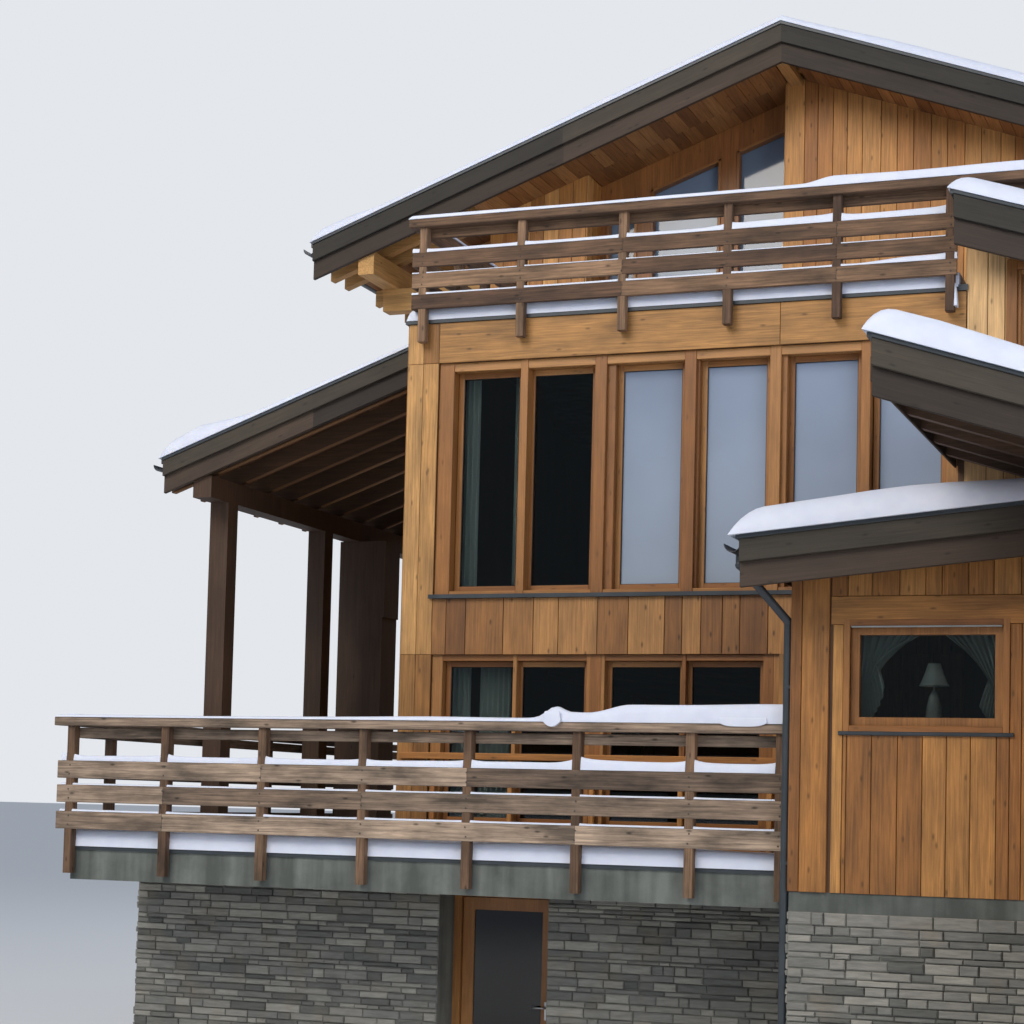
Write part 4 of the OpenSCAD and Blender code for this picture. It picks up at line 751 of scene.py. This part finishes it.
paint_nodes(behind, "right_front_wall", "right_side_walls", "wing_front_wall", "wing_right_wall",
            "wing_plain_walls")

# Main roof
# Deck boards lie on sloping rafters, and rafters on purlins that run out through the gables.
# Two stained fascia boards close each verge, the upper one proud, under a folded metal edge.
verge_y0, verge_y1, eave_x0, eave_x1 = 2.4, 12.3, -2.19, 7.89
roof_rng = np.random.default_rng(61)
# the deck's upper face: the ridge less the rise times the distance from it
main_z = lambda x: ridge_z - rise * abs(x - ridge_x)
stained_shades = ("#2C2923", "#383229", "#463E33")
stained = larch("stained fascia boards", stained_shades, rough=0.72, strength=0.8)
stained_low = larch("stained lower fascia", ("#2C231C", "#382C23", "#493A2E"), rough=0.72, strength=0.8)


def verges(rows, deck=0.13, proud=0.004):
    """Sloping edges of a roof as three lists of beams: upper fascia boards, lower ones, metal edges. A
    row is (y of the edge, its inward sign, x0, surface z there, x1, slope, fascia height, board joints)."""
    upper, lower, metal = [], [], []
    for edge, inward, x0, z0, x1, slope, height, joints in rows:
        (u0, u1), (l0, l1), (m0, m1) = (
            sorted((edge + inward * a, edge + inward * b))
            for a, b in ((-0.04 - proud, 0.01), (-proud, 0.04 + proud), (-0.058, 0.03)))
        ends = [x0, *joints, x1]
        for a, b in zip(ends[:-1], ends[1:]):
            z = z0 + slope * (a - x0)
            upper.append((a, u0, z - height / 2 - proud, b, u1, z + proud, 0, slope))
            lower.append((a, l0, z - height - proud, b, l1, z - deck, 0, slope))
        metal.append((x0, m0, z0 - 0.018, x1, m1, z0 + 0.018, 0, slope))
    return upper, lower, metal


def roof_edges(names, edges, rng):
    """Three pieces from the lists that verges gives."""
    looks = ((0.005, stained, "dark_stained_wood"), (0.005, stained_low, "dark_stained_wood"),
             (0.002, slate_metal, "slate_sheet_metal"))
    return [piece(name, beams(items, chamfer, rng), paint)
            for name, items, (chamfer, paint, slot) in zip(names, edges, looks)]


def eave_metal(x0, x1, y0, y1, surface):
    """A folded edge along a level eave."""
    return (x0, y0, surface - 0.05, x1, y1, surface + 0.012, 1)


edges = verges([(edge, inward, x0, main_z(x0), x1, slope, 0.38, [joint])
                for edge, inward in ((verge_y0, 1), (verge_y1, -1))
                for x0, x1, slope, joint in ((eave_x0, ridge_x, rise, 0.6), (ridge_x, eave_x1, -rise, 5.3))])
edges[2].extend(eave_metal(x0, x1, verge_y0 - 0.04, verge_y1 + 0.04, main_z(eave_x0))
                for x0, x1 in ((eave_x0 - 0.02, eave_x0 + 0.12), (eave_x1 - 0.12, eave_x1 + 0.02)))
main_names = ("main_upper_fascia", "main_lower_fascia", "main_roof_metal_edge")
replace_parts(roof_edges(main_names, edges, roof_rng)[0], "main_barge_boards")


def soffit(rows, surface, rng, depth=0.132, thick=0.012):
    """Boards that run front to back under a deck, each sheared to its slope. surface(x) is the roof's
    height, the boards' upper faces lie depth below it, and a row is (x0, x1, slope, y0, y1)."""
    items = []
    for x0, x1, slope, y0, y1 in rows:
        steps = pitches(x0, x1, rng, 0.1125, 0.14375)
        items += [(a + 0.002, y0, surface(a) - depth - thick, b - 0.002, y1, surface(a) - depth, 1, slope)
                  for a, b in zip(steps[:-1], steps[1:])]
    return items


inside = ((-0.45, ridge_x - 0.1, rise), (ridge_x + 0.1, 6.15, -rise))
outside = ((eave_x0 + 0.03, -0.46, rise), (6.16, eave_x1 - 0.03, -rise))
front_y, rear_y = verge_y0 + 0.045, verge_y1 - 0.045
under_gable, in_recess = [(*span, front_y, 3.1) for span in inside], (0.64, 2.72, rise, 3.1, 3.54)
items = soffit([*under_gable, in_recess], main_z, roof_rng, 0.302, 0.016)
items += soffit([(*span, front_y, rear_y) for span in outside], main_z, roof_rng)
items += soffit([(*span, 11.6, rear_y) for span in inside], main_z, roof_rng, 0.302, 0.016)
# the soffit's larch is darkened further than the walls' as painted shade under the roof
piece("main_soffit_boards", beams(items, 0.003, roof_rng),
      larch("soffit larch", ("#7C5028", "#966536", "#AC7C48"), rough=0.65))
rafter_shades = ("#A5753F", "#BE9055", "#D0A66C")
paint_nodes(larch("sawn rafters", rafter_shades, along=0, rough=0.7), "main_rafters", "purlin_outriggers")
paint_nodes(larch("sawn purlins", rafter_shades, along=1, rough=0.7), "main_purlins")
paint_nodes(larch("eave blocking", ("#7E5229", "#966536", "#A87644"), along=1, rough=0.7), "eave_blocking")
paint_nodes(larch("stained roof deck", stained_shades, along=0, rough=0.75), "main_roof_deck",
            "right_block_roof", "wing_roof", "annex_roof", "lean_to_roof")
paint_nodes(slate_metal, "gutters", "downpipe", "sheet_metal_edges")

# Lean-to
# A mono-pitch roof over the side terrace, its wood painted dark as the deep shade under it.
# Slim deep rafters, each edged by a lath painted pale as a highlight, rest on one beam over two posts and a
# wide pier.
# the roof's upper face rises to the house by the main roof's pitch
lean_z = lambda x: 7.17 + rise * x
lean_rng = np.random.default_rng(73)
edges = verges([(0.5, 1, -2.8, lean_z(-2.8), -0.002, rise, 0.33, [-1.2]),
                (6.0, -1, -2.8, lean_z(-2.8), -0.452, rise, 0.33, [-1.5])])
edges[2].append(eave_metal(-2.82, -2.7, 0.46, 6.04, lean_z(-2.8)))
roof_edges(("lean_to_upper_fascia", "lean_to_lower_fascia", "lean_to_metal_edge"), edges, lean_rng)
items = soffit([(-2.77, -0.02, rise, 0.545, 3.09), (-2.77, -0.47, rise, 3.1, 5.955)], lean_z, lean_rng)
# the soffit boards are darkened as painted shade
piece("lean_to_soffit_boards", beams(items, 0.003, lean_rng),
      larch("shaded soffit boards", ("#4A2F1C", "#5E3E26", "#6E4B30"), rough=0.75))
laths = [(a, y + 0.004, lean_z(a) - 0.322, b, y + 0.056, lean_z(a) - 0.310, 0, rise)
         for y in np.linspace(0.65, 5.84, 10)
         for a, b in ((-2.29, -0.01 if y < 3.05 else -0.46), (-2.78, -2.51))]
# the laths are lightened as a painted highlight on the rafters' lower edges
piece("lean_to_rafter_laths", beams(laths, 0.002, lean_rng),
      larch("pale rafter laths", ("#7A5431", "#8F673F", "#A27A4E"), rough=0.7))
# the rafters and the posts are darkened as painted shade
paint_nodes(larch("dark lean-to rafters", ("#3F2A1A", "#503722", "#61452D"), along=0, rough=0.7),
            "lean_to_rafters")
paint_nodes(larch("dark lean-to posts", ("#3A281B", "#4A3424", "#5A4230"), along=2, rough=0.7),
            "lean_to_posts")

# Roofs of the right block, the wing and the annex
# Mono-pitch roofs with the same pair of stained fascia boards and folded metal edge.
# Each falls or rises along the front, and the wing's rafters show from below behind an eave board.
low_rng = np.random.default_rng(87)
edges = verges([(-0.35, 1, 4.98, right_z(4.98), 7.9, -0.32, 0.42, [6.6]),
                (-3.68, 1, 4.97, wing_z(4.97), 10.16, -0.322, 0.40, [8.1]),
                (-2.0, 1, 3.66, annex_z(3.66), 6.0, 0.095, 0.38, [])])
for x, y0, y1, surface in (
    (4.98, -0.35, 3.1, right_z), (7.9, -0.35, 3.45, right_z), (4.97, -3.68, -1.95, wing_z),
    (10.16, -3.68, 3.45, wing_z), (3.66, -2.0, 0.0, annex_z),
):
    left, drop = (0.006, 0.2) if x < 5.5 else (0.012, 0.15)
    edges[0].append((x - left, y0 + 0.01, surface(x) - drop, x - left + 0.018, y1, surface(x), 1))
    edges[2].append((x - 0.03, y0 - 0.05, surface(x) - 0.02, x + 0.03, y1, surface(x) + 0.016, 1))
edges[1].append((4.95, -3.64, wing_z(4.97) - 0.30, 4.9695, -0.01, wing_z(4.97) - 0.128, 1))
roof_edges(("side_upper_fascias", "side_lower_fascias", "side_metal_edges"), edges, low_rng)
items = soffit([(4.99, 7.33, -0.322, -3.63, -0.01), (7.35, 10.13, -0.322, -3.63, 3.44)], wing_z, low_rng)
items += soffit([(5.0, 7.88, -0.32, -0.3, -0.02), (7.36, 7.88, -0.32, -0.02, 3.44)], right_z, low_rng)
items += soffit([(3.68, 5.99, 0.095, -1.95, -1.52), (3.68, 3.94, 0.095, -1.5, -0.01)], annex_z, low_rng)
# the side soffits are darkened as painted shade under the roofs
piece("side_soffit_boards", beams(items, 0.003, low_rng),
      larch("shaded side soffit", ("#3E2C1F", "#523B2A", "#624835"), rough=0.75))
# the wing's rafters are darkened as painted shade
paint_nodes(larch("dark wing rafters", ("#453223", "#5A4230", "#6E523C"), along=0, rough=0.7), "wing_rafters")

# Railings
# Square posts are notched for three boards that lie flush with their fronts, and each board is
# screwed twice to each post. A thick handrail lies on top and a slim board runs behind the posts.
rail_rng = np.random.default_rng(97)
weathered = larch("weathered railing larch", ("#57483D", "#786555", "#A8937F"),
                  rough=0.8, strength=1.8, knots=0.7, stains=3.2)
weathered_warm = larch("sheltered railing larch", ("#584030", "#70553F", "#8E7056"),
                       rough=0.78, strength=1.7, knots=0.6, stains=2.8)
post_w, post_d, rail_t = 0.075, 0.09, 0.04
bolts = []


def railing(posts, side_posts, x0, x1, y0, y_end, foot, side_foot, boards_z, board_h, inner_z, top, rng):
    """Beams of one railing that runs along the front at y0 and back along the left at x0: posts,
    boards cut at every second or third post, handrails and inner boards, and the screws' places."""
    uprights = [(x - post_w / 2, y0 + 0.001, foot, x + post_w / 2, y0 + post_d, top - 0.075, 2)
                for x in posts]
    uprights += [(x0 + 0.001, y - post_w / 2, side_foot, x0 + post_d, y + post_w / 2, top - 0.075, 2)
                 for y in side_posts]
    level = []
    for z in boards_z:
        cuts = sorted([x0, *rng.choice(posts[1:-1], 2, replace=False), x1])
        level += [(a + 0.0015, y0 - 0.003, z, b - 0.0015, y0 + rail_t, z + board_h, 0)
                  for a, b in zip(cuts[:-1], cuts[1:])]
        level.append((x0 - 0.003, y0 + rail_t, z, x0 + rail_t, y_end, z + board_h, 1))
        bolts.extend([(x + rng.uniform(-0.006, 0.006), y0, z + board_h * s)
                      for x in posts for s in (0.25, 0.75)])
    side_x, side_y = x0 + post_d, y0 + post_d
    level += [(side_x, side_y, inner_z, x1, side_y + rail_t, inner_z + 0.09, 0),
              (side_x, side_y + rail_t, inner_z, side_x + rail_t, y_end, inner_z + 0.09, 1),
              (x0 - 0.03, y0 - 0.03, top - 0.075, x1, y0 + 0.12, top, 0),
              (x0 - 0.03, y0 + 0.12, top - 0.075, x0 + 0.12, y_end, top, 1)]
    return uprights, level


def railing_pieces(name, uprights, level, rail_paint):
    """The posts and the boards of one railing."""
    for part, items, paint, node in (("posts", uprights, weathered_warm, "posts"),
                                     ("boards", level, rail_paint, "rails")):
        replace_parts(piece(f"{name}_railing_{part}", beams(items, 0.006, rail_rng), paint),
                    f"{name}_{node}")


# places from a to b, evenly spread at no more than the pitch
spread = lambda a, b, pitch: np.linspace(a, b, max(1, math.ceil(round((b - a) / pitch, 6))) + 1)
balcony_xs = sorted([3.83] + [3.1 - 0.95 * k for k in range(7)])
balcony_y0, balcony_x0 = -1.305, -2.725
uprights, level = railing(balcony_xs, spread(-0.5, 5.8, 1.1), balcony_x0, 3.8675, balcony_y0, 6.0, 2.15, 2.15,
                          (2.54, 2.775, 2.989), 0.156, 3.35, 3.53, rail_rng)
railing_pieces("balcony", uprights, level, weathered)
terrace_xs = [0.163 + 0.95 * k for k in range(6)]
terrace_y0, terrace_x0 = -0.12, 0.06
uprights, level = railing(terrace_xs, spread(0.9, 2.9, 0.95), terrace_x0, 4.97, terrace_y0, 3.1, 7.02, 7.235,
                          (7.318, 7.512, 7.706), 0.135, 7.99, 8.145, rail_rng)
level += [(4.97, terrace_y0 - 0.03, 8.07, 6.05, terrace_y0 + 0.12, 8.145, 0),
          (4.97, terrace_y0 + post_d, 7.99, 6.05, terrace_y0 + post_d + rail_t, 8.08, 0)]
uprights.append((5.975, terrace_y0 + 0.001, right_z(6.05), 6.05, terrace_y0 + post_d, 8.07, 2))
railing_pieces("terrace", uprights, level, weathered_warm)
places = np.array(bolts)
turn = np.arange(6) * np.pi / 3
head = np.stack([np.cos(turn) * 0.0075, np.zeros(6), np.sin(turn) * 0.0075], 1)
points = places[:, None, None] + np.stack([head, head + (0, -0.007, 0), head * 0.5 + (0, -0.0095, 0)])
faces = np.vstack([bands(6, 3), [[12, 13, 14, 15], [12, 15, 16, 17], [3, 2, 1, 0], [5, 4, 3, 0]]])
faces = copies(faces, 18, len(places))
zinc = coated_sheet("zinc-plated screws", "#4A443E", 0.45)
piece("railing_screws", (points.reshape(-1, 3), faces), zinc)

# Snow
# Settled snow lies on every roof, deck, handrail and board as one soft layer with rounded edges.
# Each layer is a closed skin that follows what carries it and overhangs the edge a little.
snow_rng = np.random.default_rng(131)
# fine ice grains: matt, with a cold blue depth, coloured blue-grey below snow's own white as painted shade;
# real grains are too fine to show, so clumps of 11 mm are drawn over a crust of 170 mm
snow, tree, shader = material("settled dry snow", Roughness=0.62, Subsurface_Weight=0.25,
                              Subsurface_Scale=1.0, Subsurface_Radius=(0.01, 0.014, 0.02))
place = add(tree, "TexCoord", {}, take="Object")
crust = add(tree, "TexNoise", {"Vector": place, "Scale": 6.0, "Detail": 5.0})
grains = add(tree, "TexNoise", {"Vector": place, "Scale": 90.0, "Detail": 3.0})
# the ramp's blue-greys are painted shade
tint = add(tree, "ValToRGB", {"Fac": crust}, stops=((0.3, "#D0D6E7"), (0.7, "#D9DFEE")))
dents = add(tree, "Bump", {"Height": crust, "Strength": 0.35, "Distance": 0.02})
powder = add(tree, "Bump", {"Height": grains, "Strength": 0.25, "Distance": 0.004, "Normal": dents})
feed(shader, {"Base Color": tint, "Normal": powder})


def clustered(a, b, lip, steps, knots=()):
    """Positions from a to b, crowded within the lip at both ends by lip*(1 - cos t) as on a quarter
    circle, with even steps between and the knots among them."""
    lip = min(lip, 0.45 * (b - a))
    turn = np.linspace(0, np.pi / 2, 7)
    ends = lip * (1 - np.cos(turn))
    middle = np.linspace(a + lip, b - lip, max(2, math.ceil((b - a - 2 * lip) / steps) + 1))[1:-1]
    return np.unique(np.round(np.concatenate([a + ends, middle, [k for k in knots if a + lip < k < b - lip],
                                              b - ends]), 5))


def grid(rows, cols):
    """Quads of a sheet of rows by cols points."""
    k = (np.arange(rows - 1)[:, None] * cols + np.arange(cols - 1)).ravel()
    return np.stack([k, k + cols, k + cols + 1, k + 1], 1)


def drift(box, base, thick, lip=0.12, steps=0.3, knots=(), free=(1, 1, 1, 1), rng=snow_rng):
    """Points and quads of one snow layer over box (x0, x1, y0, y1) on the surface base(x, y).
    Its top is base + thick(x, y) * q * w, where q is a quarter circle of the distance to the nearest
    free edge along x times that along y, and w a slow wave; the underside is base itself."""
    x0, x1, y0, y1 = box
    lips = min(lip, 0.45 * (x1 - x0)), min(lip, 0.45 * (y1 - y0))
    xs, ys = clustered(x0, x1, lips[0], steps, knots), clustered(y0, y1, lips[1], steps)
    x, y = np.meshgrid(xs, ys, indexing="ij")

    def quarter(v, a, b, lip, left, right):
        away = np.minimum(v - a if left else 9.0, b - v if right else 9.0)
        return np.sqrt(np.clip(1 - (1 - np.clip(away / lip, 0, 1)) ** 2, 0, 1))

    phase = rng.uniform(0, 2 * np.pi, 3)
    wave = (1 + 0.07 * np.sin(1.9 * x + 0.6 * y + phase[0]) + 0.05 * np.sin(0.8 * x - 1.7 * y + phase[1])
            + 0.04 * np.sin(4.3 * x + 2.9 * y + phase[2]))
    low = base(x, y) + 0 * x
    edge_x, edge_y = quarter(x, x0, x1, lips[0], *free[:2]), quarter(y, y0, y1, lips[1], *free[2:])
    high = low + thick(x, y) * edge_x * edge_y * wave + 0.002
    rows, cols = x.shape
    points = np.concatenate([np.stack([x, y, high], -1).reshape(-1, 3),
                             np.stack([x, y, low], -1).reshape(-1, 3)])
    top = grid(rows, cols)
    rim = np.concatenate([np.arange(rows) * cols, (rows - 1) * cols + np.arange(1, cols),
                          np.arange(rows - 2, -1, -1) * cols + cols - 1, np.arange(cols - 2, 0, -1)])
    after = np.roll(rim, -1)
    side = np.stack([rim, rim + rows * cols, after + rows * cols, after], 1)
    return points, np.vstack([top, top[:, ::-1] + rows * cols, side])


def lay_snow(name, layers):
    """One smooth piece of snow from several layers."""
    return piece(name, gather(layers), snow, smooth=True)


def step(x, a, b):
    """Smooth step from 0 at a to 1 at b: t^2 (3 - 2 t)."""
    t = np.clip((x - a) / (b - a), 0, 1)
    return t ** 2 * (3 - 2 * t)


# a hump is the bell curve exp(-((x - at) / wide)^2), even is one value everywhere, and a roof's snow
# starts 12 mm above its deck, on the metal edges; the lean-to's is thicker above its eave
hump = lambda x, at, wide: np.exp(-((x - at) / wide) ** 2)
even = lambda value: lambda x, y: value + 0 * x
roof_skin = lambda surface: lambda x, y: surface(x) + 0.012
lean_thick = lambda x, y: 0.065 + 0.12 * hump(x, -2.5, 0.42)
lay_snow("main_roof_snow", [
    drift((eave_x0 - 0.03, eave_x1 + 0.03, verge_y0 - 0.07, verge_y1 + 0.07), roof_skin(main_z),
          lambda x, y: 0.085 + 0.03 * step(x, 2.9, 4.5) + 0.05 * hump(x, eave_x0 + 0.25, 0.3), lip=0.13,
          knots=(ridge_x,)),
])
lay_snow("lean_to_snow", [
    drift((-2.84, -0.01, 0.43, 3.09), roof_skin(lean_z), lean_thick, 0.13, free=(1, 0, 1, 0),
          rng=np.random.default_rng(7)),
    drift((-2.84, -0.46, 3.09, 6.07), roof_skin(lean_z), lean_thick, 0.13, free=(1, 0, 0, 1),
          rng=np.random.default_rng(7)),
])
lay_snow("right_block_snow", [
    drift((4.93, 7.93, -0.42, 3.09), roof_skin(right_z), lambda x, y: 0.16 + 0.04 * hump(x, 5.5, 0.6), 0.2,
          free=(1, 1, 1, 0)),
])
lay_snow("wing_snow", [
    drift((4.91, 10.2, -3.76, -0.01), roof_skin(wing_z), lambda x, y: 0.19 + 0.05 * hump(x, 5.6, 0.8), 0.2,
          free=(1, 1, 1, 0), rng=np.random.default_rng(8)),
    drift((7.35, 10.2, -0.01, 3.49), roof_skin(wing_z), even(0.19), 0.2, free=(0, 1, 0, 1),
          rng=np.random.default_rng(8)),
])
lay_snow("annex_snow", [
    drift((3.58, 5.99, -2.09, -0.01), roof_skin(annex_z), lambda x, y: 0.2 + 0.05 * hump(x, 4.4, 0.8), 0.24,
          free=(1, 0, 1, 0)),
])
lay_snow("deck_snow", [
    drift((-0.02, 4.97, -0.035, 2.6), even(7.236), even(0.12), 0.05, free=(1, 0, 1, 1)),
    drift((-2.63, 3.95, -1.225, -0.08), even(2.388), lambda x, y: 0.145 - 0.02 * step(y, -0.6, -0.1), 0.05,
          free=(1, 0, 1, 1)),
    drift((-2.63, -0.02, -0.2, 0.55), even(2.388), even(0.13), 0.06),
])


def line_snow(xs, y0, y1, z, height, lip=0.03, post=post_w / 2):
    """Snow on one board between posts: a strip in each bay. Its height grows at the bay's ends by 35 and
    20 percent, which fade as exp(-distance / 50 mm), where it is drawn up by the posts."""
    made = []
    for a, b in zip(xs[:-1], xs[1:]):
        a, b = a + post, b - post
        drawn_up = lambda x, a=a, b=b: 1 + 0.35 * np.exp((a - x) / 0.05) + 0.2 * np.exp((x - b) / 0.05)
        rise_up = lambda x, y, drawn_up=drawn_up: height(x) * drawn_up(x)
        made.append(drift((a, b, y0, y1), even(z), rise_up, lip, 0.06, free=(0, 0, 1, 1)))
    return made


terrace_bays = [0.06 - post_w / 2, *terrace_xs, 4.97 + post_w / 2]
balcony_bays = [balcony_x0, *balcony_xs]
layers = []
for bays, y0, z, height in (
    (terrace_bays, -0.124, 7.841, lambda x: 0.028 + 0.03 * step(x, 2.6, 3.3)),
    (terrace_bays, -0.124, 7.647, lambda x: 0.01 + 0 * x),
    (terrace_bays, -0.124, 7.453, lambda x: 0.016 + 0.03 * step(x, 4.1, 4.6)),
    (balcony_bays, -1.309, 3.145, lambda x: 0.05 + 0.03 * step(x, 1.9, 2.3)),
    (balcony_bays, -1.309, 2.931, lambda x: 0.012 + 0 * x),
    (balcony_bays, -1.309, 2.696, lambda x: 0.014 + 0 * x),
):
    layers += line_snow(bays, y0, y0 + 0.046, z, height)
lay_snow("board_snow", layers)
# the handrail's snow grows in smooth steps to the right, with one clump; droop and hanging are the
# undersides of the snow that hangs over the front, curved up as the square and the fourth power of the
# distance from their middles
rail_height = lambda x, y: (0.02 + 0.015 * step(x, -0.5, 1.0) + 0.105 * hump(x, 1.96, 0.105)
                            + 0.045 * step(x, 2.0, 2.15) + 0.06 * step(x, 2.25, 2.6))
droop = lambda x: 0.045 * ((x - 1.95) / 0.075) ** 2
hanging = lambda x: 0.03 * ((x - 3.535) / 0.195) ** 4
lay_snow("handrail_snow", [
    drift((balcony_x0 - 0.035, 3.865, balcony_y0 - 0.035, -1.18), even(3.531), rail_height, 0.045, 0.05,
          free=(1, 0, 1, 1)),
    drift((1.875, 2.025, -1.368, -1.332), lambda x, y: 3.49 + droop(x), lambda x, y: 0.12 - droop(x), 0.016,
          0.015),
    drift((3.34, 3.73, -1.352, -1.332), lambda x, y: 3.508 + hanging(x), lambda x, y: 0.07 - hanging(x),
          0.009, 0.02),
    drift((4.885, 4.975, -0.115, -0.03), even(7.06), even(0.22), 0.04, 0.05),
    drift((0.025, 6.05, -0.155, 0.005), even(8.146), lambda x, y: 0.036 + 0.05 * step(x, 3.65, 3.95), 0.04,
          0.06),
    drift((balcony_x0 - 0.035, balcony_x0 + 0.125, -1.18, 0.4), even(3.531), even(0.03), 0.04, 0.08,
          free=(1, 1, 0, 1)),
    drift((0.025, 0.185, 0.005, 2.4), even(8.146), even(0.036), 0.04, 0.08, free=(1, 1, 0, 1)),
])

# Curtains and the lamp in the annex window
# Sheer voile curtains, gathered on thin steel rods behind three of the windows. The annex's pair is
# tied back to the sides, and a small lamp with a cloth shade stands between them on the window board.
# loose, pale and matt; real threads, 0.3 mm, are too fine to show, so the weave is drawn coarser
voile, tree, _ = material("woven polyester voile", Roughness=0.85, Sheen_Weight=0.3)
threads = {"Vector": add(tree, "UVMap", {}, uv_map="grain"), "Scale": 60.0, "Distortion": 0.6}
weft = add(tree, "TexWave", threads, take=1, bands_direction="X")
warp = add(tree, "TexWave", threads, take=1, bands_direction="Y")
weave = add(tree, "Math", {0: weft, 1: warp}, operation="ADD")
cloth_tone = add(tree, "MapRange", {0: weave, 2: 2.0, 3: 0.86, 4: 1.06})
finish(voile, linear("#D9DED6")[:3], cloth_tone, weave, 0.3, 0.001)


def curtain(name, x_out, reach, top, y, cut, folds):
    """A gathered curtain of the cut (width, length), hung at height top. Column s of the cloth lies at
    x_out + reach(v) * s and swings by d(v) * sin(2 pi folds s), with d solved so that each row keeps the
    cut width; each column falls by sqrt(step^2 - sideways^2), which keeps the cut length."""
    s, v = np.linspace(0, 1, folds * 12 + 1), np.linspace(0, 1, 49)
    swing = np.sin(2 * np.pi * folds * s)
    wide = reach(v)
    low, high = np.zeros(len(v)), np.full(len(v), 0.3)
    for _ in range(24):
        depth = (low + high) / 2
        long = np.hypot(wide[:, None] * np.diff(s), depth[:, None] * np.diff(swing)).sum(1) > cut[0]
        low, high = np.where(long, low, depth), np.where(long, depth, high)
    x = x_out + wide[:, None] * s
    sway = y + depth[:, None] * swing
    fall_squared = (cut[1] / 48) ** 2 - np.diff(x, axis=0) ** 2 - np.diff(sway, axis=0) ** 2
    fall = np.sqrt(np.clip(fall_squared, 1e-6, None))
    z = top - np.vstack([np.zeros(len(s)), np.cumsum(fall, 0)])
    faces = grid(len(v), len(s))
    uv = np.stack(np.broadcast_arrays(s * cut[0], v[:, None] * cut[1]), -1).reshape(-1, 2)
    made = piece(name, (np.stack([x, sway, z], -1).reshape(-1, 3), faces, uv), voile, smooth=True)


rods = []
for x0, x1, y, z, wall in (
    (4.40, 5.58, -1.25, 4.275, -1.32), (0.36, 1.11, 0.27, 4.115, 0.17), (0.40, 1.12, 0.29, 6.765, 0.20),
):
    rods.append(rod([(x0, y, z), (x1, y, z)], 0.006, 8))
    rods += [rod([(x, wall, z), (x, y, z)], 0.006, 8) for x in (x0 + 0.01, x1 - 0.01)]
piece("curtain_rods", gather(rods), brushed, smooth=True)


def tied(full, waist, hem, side=1):
    """Width of a curtain tied back at 72 percent of its length: it narrows to the waist as (1 - v / 0.72)
    to the power 1.15, and widens to the hem as the power 0.8 of what is left."""
    return lambda v: side * np.where(v < 0.72, waist + (full - waist) * (1 - (v / 0.72)) ** 1.15,
                                     waist + (hem - waist) * np.clip((v - 0.72) / 0.28, 0, 1) ** 0.8)


for name, x_out, reach, top, y, cut, folds in (
    ("annex_curtain_left", 4.43, tied(0.60, 0.14, 0.2), 4.27, -1.25, (1.1, 0.74), 9),
    ("annex_curtain_right", 5.55, tied(0.52, 0.13, 0.2, -1), 4.27, -1.25, (1.1, 0.76), 9),
    ("french_curtain_left", 0.39, lambda v: 0.2 + 0 * v, 4.11, 0.27, (0.5, 1.72), 4),
    ("french_curtain_right", 0.68, lambda v: 0.3 + 0 * v, 4.11, 0.27, (0.75, 1.72), 6),
    ("ribbon_curtain_left", 0.46, lambda v: 0.15 + 0 * v, 6.76, 0.29, (0.4, 1.98), 3),
    ("ribbon_curtain_right", 0.95, lambda v: 0.14 + 0 * v, 6.76, 0.29, (0.4, 1.98), 3),
):
    curtain(name, x_out, reach, top, y, cut, folds)


def turned(profile, x, y, sides=28, ring=False):
    """Surface of revolution: each (radius, height) of the profile becomes a circle about the upright axis
    at x, y. It is closed by flat ends, or as a ring by joining the last circle to the first."""
    r, z = np.asarray(profile, float).T
    turn = np.arange(sides) * 2 * np.pi / sides
    points = np.stack([x + r[:, None] * np.cos(turn), y + r[:, None] * np.sin(turn), z[:, None] + 0 * turn],
                      -1)
    if ring:
        return points.reshape(-1, 3), bands(sides, len(r) + 1) % (sides * len(r))
    fan = np.array([[0, n, n + 1, n + 2] for n in range(1, sides - 2, 2)])
    return points.reshape(-1, 3), np.vstack([bands(sides, len(r)), fan[:, ::-1], fan + sides * (len(r) - 1)])


lamp_x, lamp_y = 4.995, -1.16
shade_outer = [(0.118 - 0.07 * t ** 0.8, 3.842 + 0.175 * t) for t in np.linspace(0, 1, 9)]
points, faces = turned(shade_outer + [(r - 0.002, z) for r, z in shade_outer[::-1]], lamp_x, lamp_y,
                       ring=True)
piece("lamp_shade", (points, faces, points[:, :2]), voile, smooth=True)
foot = [(0.045, 3.556), (0.062, 3.562), (0.066, 3.60), (0.058, 3.68), (0.04, 3.76), (0.022, 3.80),
        (0.009, 3.812), (0.0075, 3.93), (0.003, 3.935)]
glaze = coated_sheet("glazed stoneware lamp foot", "#B9BDB4", 0.25)
piece("lamp_foot", turned(foot, lamp_x, lamp_y), glaze, smooth=True)
arms = [rod([(lamp_x, lamp_y, 3.925), (lamp_x + 0.068 * math.cos(a), lamp_y + 0.068 * math.sin(a), 3.962)],
            0.002, 6)
        for a in (0, 2.0944, 4.1888)]
piece("lamp_shade_carrier", gather(arms), brushed)
joinery("annex_window_board", [(4.14, -1.33, 3.53, 5.86, -1.02, 3.556, 0)])
